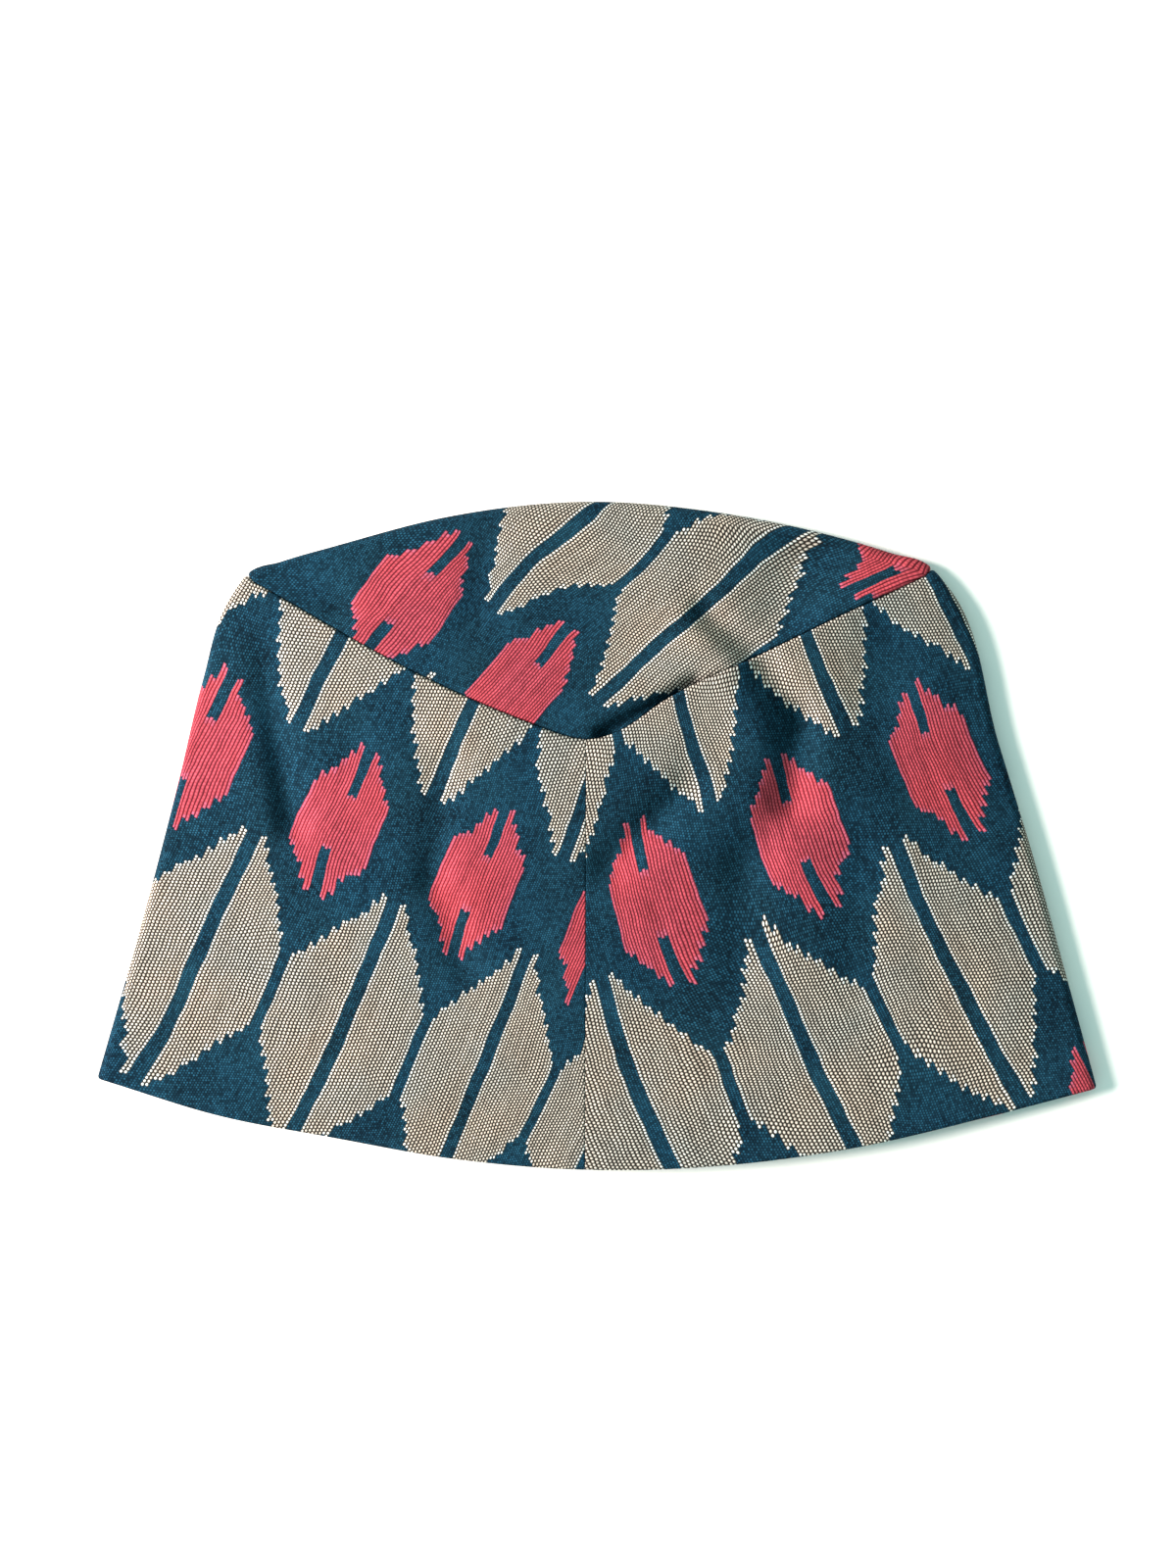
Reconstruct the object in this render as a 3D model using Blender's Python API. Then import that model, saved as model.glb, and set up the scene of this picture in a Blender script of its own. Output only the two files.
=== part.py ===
"""A dhaka topi, the woven cloth cap of Nepal, lying folded flat on a table.

Three cloth pieces make it: two half bands, which meet at a seam down the front and another down
the back, and a leaf-shaped crown that is folded on a ridge. The front half lies on top, the back
half lies flat on the table, and the rim is open towards -Y. Each piece is one closed cloth wall.
The sizes below are in millimetres: +X to the wearer's left as it lies, +Y from the rim to the
ridge, +Z up from the table.
"""
from collections import namedtuple

import bmesh
import bpy
import numpy as np

MM = 0.001

# The cloth and its seams
WALL = 1.8
SEAM_GAP = 0.3
SEAM_PULL = 0.42
WELD = 0.00001

# How the folded cap stands up from the table
FOLD_RADIUS = 3.0
RIM_HEIGHT = 10.0
SEAM_HEIGHT = 17.0
CROWN_STEP = 1.2
SIDE_FALL = 2.4
CROWN_FALL = 1.5
BACK_RIM_INSET = 1.5

# How finely each piece is divided; band and crown share their divisions along the crown seam
BAND_ROWS = 18
SEAM_DIVISIONS = 18
FOLD_STEPS = 5
CROWN_FRONT_STEPS = 9
CROWN_BACK_STEPS = 3
SHARP_ANGLE = np.radians(50.0)

OutlinePoint = namedtuple("OutlinePoint", "station x y")
EdgePoint = namedtuple("EdgePoint", "across x y")
Crease = namedtuple("Crease", "name x0 y0 x1 y1 width depth")

# The folded outline: stations 0 to 1 climb the left fold from the rim, 1 to 3 follow the ridge of
# the crown, and 3 to 4 come down the right fold to the rim.
OUTLINE = (
    OutlinePoint(0.000, -140.2, -68.0),
    OutlinePoint(0.310, -127.6, -23.9),
    OutlinePoint(0.593, -117.1, 16.5),
    OutlinePoint(0.785, -110.5, 44.0),
    OutlinePoint(0.933, -104.0, 64.9),
    OutlinePoint(1.000, -98.2, 73.4),
    OutlinePoint(1.100, -88.6, 77.0),
    OutlinePoint(1.258, -73.4, 81.4),
    OutlinePoint(1.592, -41.3, 89.7),
    OutlinePoint(2.007, -1.4, 93.8),
    OutlinePoint(2.356, 32.2, 91.0),
    OutlinePoint(2.677, 63.0, 85.0),
    OutlinePoint(2.880, 82.4, 79.4),
    OutlinePoint(3.000, 94.1, 75.1),
    OutlinePoint(3.056, 99.6, 68.5),
    OutlinePoint(3.346, 112.8, 25.9),
    OutlinePoint(3.560, 122.6, -6.3),
    OutlinePoint(3.779, 131.4, -38.0),
    OutlinePoint(4.000, 140.3, -70.7),
)
RIDGE_MIDDLE = 2.0
OUTLINE_END = 4.0
STATION_STEP = 0.004

# The rim of the front half, from the left fold (-1) over the front seam (0) to the right fold (1)
RIM = (
    EdgePoint(-1.00, -140.2, -68.0),
    EdgePoint(-0.76, -107.5, -77.8),
    EdgePoint(-0.53, -75.4, -83.9),
    EdgePoint(-0.26, -39.3, -90.2),
    EdgePoint(0.00, -3.3, -93.2),
    EdgePoint(0.30, 39.3, -91.6),
    EdgePoint(0.53, 72.9, -86.9),
    EdgePoint(0.83, 115.8, -77.0),
    EdgePoint(1.00, 140.3, -70.7),
)

# The seam between the front half band and the crown: a wide V with a rounded foot
CROWN_SEAM = (
    EdgePoint(-1.00, -98.2, 73.4),
    EdgePoint(-0.72, -71.8, 57.8),
    EdgePoint(-0.50, -50.1, 45.9),
    EdgePoint(-0.16, -18.2, 31.6),
    EdgePoint(-0.07, -9.4, 28.3),
    EdgePoint(0.00, -3.0, 27.0),
    EdgePoint(0.10, 6.6, 29.7),
    EdgePoint(0.23, 19.5, 38.5),
    EdgePoint(0.51, 46.5, 51.7),
    EdgePoint(0.77, 71.5, 64.1),
    EdgePoint(1.00, 94.1, 75.1),
)

# Soft valleys pressed into the upper cloth, each along a straight line
BAND_CREASES = (
    Crease("left fold crease", -94.0, 52.0, -85.5, 4.0, 6.5, 5.5),
    Crease("left of the seam", -42.5, 21.0, -45.5, -12.0, 7.0, 1.6),
    Crease("right of the foot", 25.0, 13.0, 4.0, -8.0, 7.0, 2.6),
    Crease("main crease", 46.5, 48.0, 56.0, 33.0, 6.5, 3.8),
    Crease("main crease below", 56.0, 33.0, 54.5, 10.0, 6.5, 3.8),
    Crease("main crease tail", 52.0, 8.0, 41.0, -38.0, 8.0, 1.8),
    Crease("right slope", 86.0, 66.0, 79.0, 36.0, 12.0, 3.6),
)
CROWN_CREASES = (
    Crease("crown pucker", 30.5, 62.5, 43.5, 51.0, 6.0, 2.4),
    Crease("crown tuck", 1.0, 28.5, 27.0, 42.5, 6.0, 1.8),
    Crease("crown right slope", 62.0, 79.0, 52.0, 60.0, 12.0, 3.4),
)


def columns(table, *names):
    """The named columns of a table as one array, a row for each row of the table."""
    return np.array([[getattr(row, name) for name in names] for row in table])


def curve_through(table, key, at):
    """The x and y at the given keys on a smooth cubic curve through the table's rows."""
    keys = columns(table, key)[:, 0]
    points = columns(table, "x", "y")
    slopes = np.gradient(points, keys, axis=0)
    at = np.asarray(at, dtype=float)
    row = np.clip(np.searchsorted(keys, at, side="right") - 1, 0, len(keys) - 2)
    span = (keys[row + 1] - keys[row])[..., None]
    k = (at[..., None] - keys[row][..., None]) / span
    start = (2 * k**3 - 3 * k**2 + 1) * points[row] + (k**3 - 2 * k**2 + k) * span * slopes[row]
    end = (3 * k**2 - 2 * k**3) * points[row + 1] + (k**3 - k**2) * span * slopes[row + 1]
    return start + end


def outline_normal(station):
    """The unit direction that points out of the folded outline, in the table's plane."""
    before = curve_through(OUTLINE, "station", np.clip(station - STATION_STEP, 0.0, OUTLINE_END))
    after = curve_through(OUTLINE, "station", np.clip(station + STATION_STEP, 0.0, OUTLINE_END))
    along = after - before
    along /= np.linalg.norm(along, axis=-1, keepdims=True)
    return np.stack([-along[..., 1], along[..., 0]], axis=-1)


def fold_centre(station):
    """The line that the cloth turns around, one fold radius inside the outline."""
    edge = curve_through(OUTLINE, "station", station)
    return edge - FOLD_RADIUS * outline_normal(station)


def fold_station(side, climb):
    """The outline station of a side fold at a climb of 0 at the rim to 1 at the corner."""
    climb = np.asarray(climb, dtype=float)
    return climb if side < 0 else OUTLINE_END - climb


def edge_line(table, across, climb, back):
    """The rim or the crown seam, from -1 at the left fold to 1 at the right, ending on the folds.

    The back half is the mirror image of the front. The line is drawn out a little towards each
    side, so that it ends on the fold's centre line at the given climb.
    """
    flip = -1.0 if back else 1.0
    mirror = np.array([flip, 1.0])
    line = curve_through(table, "across", flip * across) * mirror
    for side in (-1.0, 1.0):
        end = curve_through(table, "across", np.array(flip * side)) * mirror
        target = fold_centre(fold_station(side, climb))
        line = line + np.clip(side * across, 0.0, 1.0)[..., None] * (target - end)
    return line


def band_patch(side, share, climb, back):
    """Plan positions on a half band: share runs 0 at its seam to 1 at the fold, climb 0 to 1.

    Straight lines run from the rim to the crown seam, and bow out with the fold on their side.
    """
    rim = edge_line(RIM, side * share, 0.0, back)
    if back:
        rim = rim + (1 - share)[:, None] * np.array([0.0, BACK_RIM_INSET])
    seam = edge_line(CROWN_SEAM, side * share, 1.0, back)
    c = climb[None, :, None]
    fold = fold_centre(fold_station(side, climb))[None]
    chord = (1 - c) * fold_centre(fold_station(side, 0.0)) + c * fold_centre(fold_station(side, 1.0))
    ruled = (1 - c) * rim[:, None] + c * seam[:, None]
    return ruled + share[:, None, None] * (fold - chord)


def crease_depth(creases, plan):
    """How far the creases press the cloth down: a bell across each line, fading at its ends."""
    total = np.zeros(plan.shape[:-1])
    for crease in creases:
        start = np.array([crease.x0, crease.y0])
        line = np.array([crease.x1, crease.y1]) - start
        length = np.linalg.norm(line)
        line /= length
        offset = plan - start
        along = offset @ line
        beyond = np.maximum(0.0, np.maximum(-along, along - length))
        across = offset @ np.array([-line[1], line[0]])
        total += crease.depth * np.exp(-(across**2 + beyond**2) / crease.width**2)
    return total


def seam_rise(across):
    """Height of the cloth at the crown seam, highest at the front and down to the side folds."""
    low = 2 * FOLD_RADIUS
    return low + (SEAM_HEIGHT - low) * (1 - np.abs(across) ** SIDE_FALL)


def band_top(across, climb, plan):
    """Height of the front half band: a low crown across, rising from the rim to the crown seam."""
    low = 2 * FOLD_RADIUS
    middle = RIM_HEIGHT + (SEAM_HEIGHT - RIM_HEIGHT) * np.sin(climb * np.pi / 2)
    rise = (middle - low)[None, :] * (1 - np.abs(across) ** SIDE_FALL)[:, None]
    edge = (1 - across**2)[:, None]
    return low + rise - edge * crease_depth(BAND_CREASES, plan)


def crown_top(across, share, plan):
    """Height of the crown's upper half: just under the band at the seam, falling to the ridge."""
    low = 2 * FOLD_RADIUS
    edge = (1 - across**2)[:, None]
    start = (seam_rise(across) - low)[:, None] - CROWN_STEP * edge
    rise = start * (1 - share ** CROWN_FALL)[None, :]
    return low + rise - edge * crease_depth(CROWN_CREASES, plan)


def raised(plan, height, outward_z):
    """Points at the given heights over a plan, and the outward direction of the cloth there."""
    points = np.concatenate([plan, np.broadcast_to(height, plan.shape[:-1])[..., None]], axis=-1)
    direction = np.zeros_like(points)
    direction[..., 2] = outward_z
    return points, direction


def turned(station, angles):
    """Points round a fold and their outward directions: a half circle about the fold's centre."""
    centre = fold_centre(station)[None]
    normal = outline_normal(station)[None]
    cosine = np.cos(angles)[:, None, None]
    sine = np.broadcast_to(np.sin(angles)[:, None, None], cosine.shape[:1] + centre.shape[1:2] + (1,))
    direction = np.concatenate([cosine * normal, sine], axis=-1)
    base = np.concatenate([centre, np.full(centre.shape[:-1] + (1,), FOLD_RADIUS)], axis=-1)
    return base + FOLD_RADIUS * direction, direction


def seam_divisions():
    """Where band and crown are divided from the middle seam, half a gap away, to the side fold."""
    return np.linspace(SEAM_GAP / 2 / abs(CROWN_SEAM[0].x), 1.0, SEAM_DIVISIONS + 1)


def half_band(side):
    """Outer points and directions of a half band: front seam, side fold, then the back seam."""
    top_climb = 1.0 - SEAM_PULL / (CROWN_SEAM[0].y - RIM[0].y)
    climb = np.linspace(0.0, top_climb, BAND_ROWS + 1)
    front = seam_divisions()
    back = front[::-1]
    angles = np.linspace(np.pi / 2, -np.pi / 2, FOLD_STEPS + 1)[1:-1]
    front_plan = band_patch(side, front, climb, back=False)
    top = raised(front_plan, band_top(front, climb, front_plan), 1.0)
    fold = turned(fold_station(side, climb), angles)
    under = raised(band_patch(side, back, climb, back=True), 0.0, -1.0)
    return tuple(np.concatenate(parts, axis=0) for parts in zip(top, fold, under))


def crown_sheet():
    """Outer points and directions of the crown: front seam, ridge, then the back seam."""
    half = seam_divisions()
    across = np.concatenate([-half[::-1], [0.0], half])
    front_seam = edge_line(CROWN_SEAM, across, 1.0, back=False)
    back_seam = edge_line(CROWN_SEAM, across, 1.0, back=True)
    station = RIDGE_MIDDLE + across
    ridge = fold_centre(station)
    front = np.linspace(0.0, 1.0, CROWN_FRONT_STEPS + 1)
    back = np.linspace(1.0, 0.0, CROWN_BACK_STEPS + 1)
    angles = np.linspace(np.pi / 2, -np.pi / 2, FOLD_STEPS + 1)[1:-1]
    plan = front_seam[:, None] + front[None, :, None] * (ridge - front_seam)[:, None]
    top = raised(plan, crown_top(across, front, plan), 1.0)
    fold = tuple(part.swapaxes(0, 1) for part in turned(station, angles))
    under_plan = back_seam[:, None] + back[None, :, None] * (ridge - back_seam)[:, None]
    under = raised(under_plan, 0.0, -1.0)
    return tuple(np.concatenate(parts, axis=1) for parts in zip(top, fold, under))


def cloth_wall(name, outer, direction, material):
    """One closed wall: the outer grid, the same grid one wall inside, and the edges between."""
    rows, cols = outer.shape[:2]
    inner = outer - WALL * direction
    index = np.arange(rows * cols).reshape(rows, cols)
    below = index + rows * cols
    skin = np.stack([index[:-1, :-1], index[:-1, 1:], index[1:, 1:], index[1:, :-1]], axis=-1)
    lining = np.stack([below[:-1, :-1], below[1:, :-1], below[1:, 1:], below[:-1, 1:]], axis=-1)
    loop = np.concatenate([index[:-1, 0], index[-1, :-1], index[:0:-1, -1], index[0, :0:-1]])
    after = np.roll(loop, -1)
    hem = np.stack([loop, after, after + rows * cols, loop + rows * cols], axis=-1)
    faces = np.concatenate([skin.reshape(-1, 4), lining.reshape(-1, 4), hem])
    mesh = bpy.data.meshes.new(name)
    mesh.from_pydata((np.concatenate([outer, inner]).reshape(-1, 3) * MM).tolist(), [], faces.tolist())
    form = bmesh.new()
    form.from_mesh(mesh)
    bmesh.ops.remove_doubles(form, verts=form.verts, dist=WELD)
    bmesh.ops.recalc_face_normals(form, faces=form.faces)
    form.to_mesh(mesh)
    form.free()
    mesh.shade_smooth()
    mesh.set_sharp_from_angle(angle=SHARP_ANGLE)
    mesh.materials.append(material)
    piece = bpy.data.objects.new(name, mesh)
    bpy.context.collection.objects.link(piece)
    return piece


def cloth_material(name, colour):
    """Matt handloom cotton of one colour."""
    material = bpy.data.materials.new(name)
    material.use_nodes = True
    shader = material.node_tree.nodes["Principled BSDF"]
    shader.inputs["Base Color"].default_value = (*colour, 1.0)
    shader.inputs["Roughness"].default_value = 0.9
    shader.inputs["Metallic"].default_value = 0.0
    return material


def main():
    """Clears the scene and makes the three pieces of the cap under one empty."""
    for old in list(bpy.data.objects):
        bpy.data.objects.remove(old, do_unlink=True)
    cap = bpy.data.objects.new("topi", None)
    bpy.context.collection.objects.link(cap)
    pieces = (
        cloth_wall("band_left", *half_band(-1), cloth_material("left_band_cloth", (0.075, 0.115, 0.130))),
        cloth_wall("band_right", *half_band(1), cloth_material("right_band_cloth", (0.060, 0.095, 0.115))),
        cloth_wall("crown", *crown_sheet(), cloth_material("crown_cloth", (0.115, 0.080, 0.090))),
    )
    for piece in pieces:
        piece.parent = cap


main()
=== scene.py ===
"""The looks of a folded dhaka topi: three sewn pieces of inlaid handloom cloth, lying on a pale table.

The cloth pieces are numpy surfaces that stand in the place of the construction's solids. A point of
the cloth is found in three steps: its place in plan, its height over the table, and the direction
that the cloth faces there. Every piece carries the cloth's own coordinates, in millimetres across
and along the grain, and the woven repeat is worked out from them in the material.
Sizes are in millimetres until a mesh is made: +X across the rim, +Y from the rim to the ridge.
"""
import logging
import math
from dataclasses import dataclass, field
from enum import Enum
from typing import NamedTuple, Sequence, Union

import bmesh
import bpy
import numpy as np
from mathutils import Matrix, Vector


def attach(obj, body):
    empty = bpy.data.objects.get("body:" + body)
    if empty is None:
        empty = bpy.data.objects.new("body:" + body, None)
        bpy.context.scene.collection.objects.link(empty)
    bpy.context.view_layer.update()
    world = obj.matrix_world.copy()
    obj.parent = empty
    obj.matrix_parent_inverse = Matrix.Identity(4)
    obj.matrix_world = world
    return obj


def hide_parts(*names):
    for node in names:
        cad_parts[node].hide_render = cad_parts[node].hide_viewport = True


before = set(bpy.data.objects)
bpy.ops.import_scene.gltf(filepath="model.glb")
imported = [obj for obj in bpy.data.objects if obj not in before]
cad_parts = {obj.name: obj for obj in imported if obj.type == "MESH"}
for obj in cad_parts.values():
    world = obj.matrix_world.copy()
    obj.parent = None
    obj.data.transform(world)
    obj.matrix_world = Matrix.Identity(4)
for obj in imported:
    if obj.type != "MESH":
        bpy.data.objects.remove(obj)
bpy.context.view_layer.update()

CLOTH_MAP = "cloth"
MM = 0.001
LOG = logging.getLogger("topi")
# How far from a rounded edge its finer divisions lie, and how clear of them the even ones stay
EDGE_DIVISIONS = (0.06, 0.18, 0.36, 0.6, 0.9, 1.3, 1.9, 2.8)
EDGE_CLEARANCE = 1.2

Number = Union[float, "Term"]
Colour = tuple[float, float, float]
Tint = Union[Colour, "Term"]


class Side(Enum):
    """The two half bands, named by the side fold that each one wraps."""

    LEFT = -1
    RIGHT = 1


class Half(Enum):
    """The upper half of the folded cap, and the half that lies on the table."""

    FRONT = "front"
    BACK = "back"


class OutlinePoint(NamedTuple):
    """A point of the folded outline, at its station along it."""

    station: float
    x: float
    y: float


class EdgePoint(NamedTuple):
    """A point of the rim or the crown seam, from -1 at the left fold to 1 at the right."""

    across: float
    x: float
    y: float


class Crease(NamedTuple):
    """A soft valley pressed into the cloth along a straight line."""

    name: str
    x0: float
    y0: float
    x1: float
    y1: float
    width: float
    depth: float


class Spot(Enum):
    """The places on a woven motif that can be made out on the photograph."""

    TIP = "the end of the yarns beside the slit or the notch"
    TAPER = "half way along the ragged slope from a tip to the straight side"
    SIDE = "on the straight side, from -1 at its low end to 1 at its top end"
    CHANNEL = "in the leaf's slit, in half lengths up from the middle"
    NOTCH = "the inner end of a rod's notch"


class MotifMark(NamedTuple):
    """Where a spot of the woven repeat is seen from the camera.

    column and row count half repeats, leaves at even ones and rods at odd ones; right is -1 or 1 for
    the motif's left or right half, and up says which end, or how far up, as the spot needs it.
    """

    column: int
    row: int
    spot: Spot
    right: float
    up: float
    x: float
    y: float


def motif(column: int, row: int, *spots: tuple[Spot, float, float, float, float]) -> tuple[MotifMark, ...]:
    """The marks of one motif, which share its column and its row."""
    return tuple(MotifMark(column, row, *spot) for spot in spots)


TIP, TAPER, SIDE, CHANNEL, NOTCH = Spot

# The folded outline: stations 0 to 1 climb the left fold from the rim, 1 to 3 follow the ridge of
# the crown, and 3 to 4 come down the right fold to the rim.
OUTLINE: tuple[OutlinePoint, ...] = (
    OutlinePoint(0.000, -140.2, -68.0),
    OutlinePoint(0.310, -127.6, -23.9),
    OutlinePoint(0.593, -117.1, 16.5),
    OutlinePoint(0.785, -110.5, 44.0),
    OutlinePoint(0.933, -104.0, 64.9),
    OutlinePoint(1.000, -98.2, 73.4),
    OutlinePoint(1.100, -88.6, 77.0),
    OutlinePoint(1.258, -73.4, 81.4),
    OutlinePoint(1.592, -41.3, 89.7),
    OutlinePoint(2.007, -1.4, 93.8),
    OutlinePoint(2.356, 32.2, 91.0),
    OutlinePoint(2.677, 63.0, 85.0),
    OutlinePoint(2.880, 82.4, 79.4),
    OutlinePoint(3.000, 94.1, 75.1),
    OutlinePoint(3.056, 99.6, 68.5),
    OutlinePoint(3.346, 112.8, 25.9),
    OutlinePoint(3.560, 122.6, -6.3),
    OutlinePoint(3.779, 131.4, -38.0),
    OutlinePoint(4.000, 140.3, -70.7),
)

# The rim of the front half, from the left fold over the front seam to the right fold
RIM: tuple[EdgePoint, ...] = (
    EdgePoint(-1.00, -140.2, -68.0),
    EdgePoint(-0.76, -107.5, -77.8),
    EdgePoint(-0.53, -75.4, -83.9),
    EdgePoint(-0.26, -39.3, -90.2),
    EdgePoint(0.00, -3.3, -93.2),
    EdgePoint(0.30, 39.3, -91.6),
    EdgePoint(0.53, 72.9, -86.9),
    EdgePoint(0.83, 115.8, -77.0),
    EdgePoint(1.00, 140.3, -70.7),
)

# The seam between the front half band and the crown: a wide V with a rounded foot
CROWN_SEAM: tuple[EdgePoint, ...] = (
    EdgePoint(-1.00, -98.2, 73.4),
    EdgePoint(-0.72, -71.8, 57.8),
    EdgePoint(-0.50, -50.1, 45.9),
    EdgePoint(-0.16, -18.2, 31.6),
    EdgePoint(-0.07, -9.4, 28.3),
    EdgePoint(0.00, -3.0, 27.0),
    EdgePoint(0.10, 6.6, 29.7),
    EdgePoint(0.23, 19.5, 38.5),
    EdgePoint(0.51, 46.5, 51.7),
    EdgePoint(0.77, 71.5, 64.1),
    EdgePoint(1.00, 94.1, 75.1),
)

# The creases seen in the band's shading; a depth below 0 is a soft ridge
BAND_CREASES: tuple[Crease, ...] = (
    Crease("left fold crease", -94.0, 52.0, -85.5, 4.0, 4.5, 9.0),
    Crease("left fold ridge", -101.5, 50.0, -93.0, 4.0, 5.5, -2.0),
    Crease("left pucker", -79.0, 30.0, -52.0, 16.0, 4.5, 0.9),
    Crease("left of the seam, top", -52.0, 31.0, -48.5, 18.0, 4.0, 1.1),
    Crease("left of the seam", -42.5, 21.0, -45.5, -12.0, 5.0, 2.1),
    Crease("left of the seam, low", -45.5, -12.0, -36.5, -36.0, 5.0, 2.1),
    Crease("right of the foot", 25.0, 13.0, 4.0, -8.0, 5.5, 3.2),
    Crease("ridge by the foot", 2.0, 22.0, 20.0, 24.0, 5.0, -0.8),
    Crease("main crease", 46.5, 48.0, 56.0, 33.0, 5.5, 4.6),
    Crease("main crease below", 56.0, 33.0, 54.5, 10.0, 5.5, 4.8),
    Crease("main ridge", 37.0, 44.0, 44.0, 28.0, 6.0, -1.2),
    Crease("main ridge below", 44.0, 28.0, 43.0, 12.0, 6.0, -1.0),
    Crease("main crease bend", 52.0, 8.0, 42.0, -8.0, 7.0, 2.0),
    Crease("main crease tail", 42.0, -8.0, 41.0, -38.0, 7.5, 1.9),
    Crease("right hollow", 74.0, -5.0, 73.0, -40.0, 6.5, 1.4),
    Crease("right pucker", 88.0, 15.0, 101.0, 2.0, 6.5, 2.2),
    Crease("right slope", 86.0, 66.0, 79.0, 36.0, 12.0, 4.5),
)

# The creases seen in the crown's shading
CROWN_CREASES: tuple[Crease, ...] = (
    Crease("crown ridge", 24.0, 60.0, 38.5, 47.0, 4.5, -1.3),
    Crease("crown pucker", 30.5, 62.5, 43.5, 51.0, 4.5, 3.2),
    Crease("crown tuck", 2.0, 28.5, 27.5, 42.5, 2.4, 4.4),
    Crease("crown left hollow", -31.0, 86.0, -34.0, 62.0, 6.0, 1.3),
    Crease("crown left tuck", -92.0, 70.0, -73.0, 64.0, 4.5, 5.0),
    Crease("crown right slope", 62.0, 79.0, 52.0, 60.0, 12.0, 5.4),
)

# Where the woven motifs are seen on the left half band
LEFT_MARKS: tuple[MotifMark, ...] = (
    *motif(
        0, 0,
        (TIP, -1, 1, -98.9, 2.3), (TIP, 1, 1, -93.2, -0.8), (SIDE, 1, 1, -87.6, -28.0),
        (SIDE, 1, -1, -97.5, -51.6), (TIP, 1, -1, -126.8, -70.4), (TIP, -1, -1, -133.1, -65.6),
        (TAPER, -1, -1, -132.2, -50.5),
    ),
    *motif(
        2, 0,
        (TIP, -1, 1, -59.8, -16.9), (TIP, 1, 1, -53.8, -19.8), (SIDE, -1, 1, -86.0, -34.8),
        (SIDE, -1, -1, -94.9, -56.0), (SIDE, 1, 1, -48.3, -49.2), (SIDE, 1, -1, -58.1, -73.3),
        (CHANNEL, 0, -0.83, -85.2, -82.2),
    ),
    *motif(
        4, 0,
        (TIP, -1, 1, -22.5, -31.9), (TIP, 1, 1, -16.9, -34.6), (SIDE, -1, 1, -45.8, -50.7),
        (SIDE, -1, -1, -55.4, -73.3), (SIDE, 1, 1, -12.1, -62.2), (SIDE, 1, -1, -22.2, -83.8),
        (CHANNEL, 0, -0.59, -41.9, -89.7),
    ),
    *motif(
        6, 0,
        (SIDE, -1, 1, -9.7, -66.1),
    ),
    *motif(
        -1, 1,
        (TIP, -1, 1, -105.0, 46.2), (TIP, 1, 1, -100.4, 43.3), (NOTCH, 0, 1, -107.6, 32.9),
        (SIDE, 1, 1, -96.3, 28.3), (SIDE, 1, -1, -103.7, 10.0), (NOTCH, 0, -1, -117.3, 16.5),
        (TIP, 1, -1, -118.7, 2.3),
    ),
    *motif(
        1, 1,
        (TIP, -1, 1, -65.6, 26.4), (TIP, 1, 1, -61.0, 23.5), (NOTCH, 0, 1, -68.1, 11.0),
        (NOTCH, 0, -1, -76.6, -3.2), (TIP, -1, -1, -81.6, -14.5), (TIP, 1, -1, -77.1, -17.4),
        (SIDE, -1, 0, -83.4, 8.0), (SIDE, 1, 1, -58.1, 8.6), (SIDE, 1, -1, -64.3, -9.7),
    ),
    *motif(
        3, 1,
        (TIP, -1, 1, -28.5, 8.4), (TIP, 1, 1, -23.5, 6.2), (NOTCH, 0, 1, -30.2, -6.2),
        (NOTCH, 0, -1, -37.5, -21.2), (TIP, -1, -1, -42.7, -31.9), (TIP, 1, -1, -38.1, -34.6),
        (SIDE, -1, 0, -44.3, -7.8), (SIDE, 1, 1, -20.4, -7.8), (SIDE, 1, -1, -25.9, -26.1),
    ),
    *motif(
        5, 1,
        (SIDE, -1, -1, -10.6, -31.0), (TIP, -1, -1, -8.3, -46.3),
    ),
    *motif(
        -2, 2,
        (SIDE, 1, -1, -91.5, 68.0), (TAPER, 1, -1, -103.5, 64.8),
    ),
    *motif(
        0, 2,
        (TIP, -1, -1, -86.4, 32.5), (TIP, 1, -1, -81.9, 27.7), (SIDE, -1, -1, -88.8, 66.9),
        (SIDE, 1, -1, -53.3, 47.1), (CHANNEL, 0, -0.22, -71.1, 56.8),
    ),
    *motif(
        2, 2,
        (TIP, -1, -1, -49.6, 11.0), (TIP, 1, -1, -42.7, 8.4), (SIDE, -1, -1, -51.6, 44.5),
        (SIDE, 1, -1, -18.2, 30.8), (CHANNEL, 0, -0.19, -34.3, 38.3),
    ),
    *motif(
        4, 2,
        (TIP, -1, -1, -11.4, -5.1), (TIP, 1, -1, -6.9, -7.3), (SIDE, -1, -1, -17.7, 26.0),
    ),
)

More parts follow.
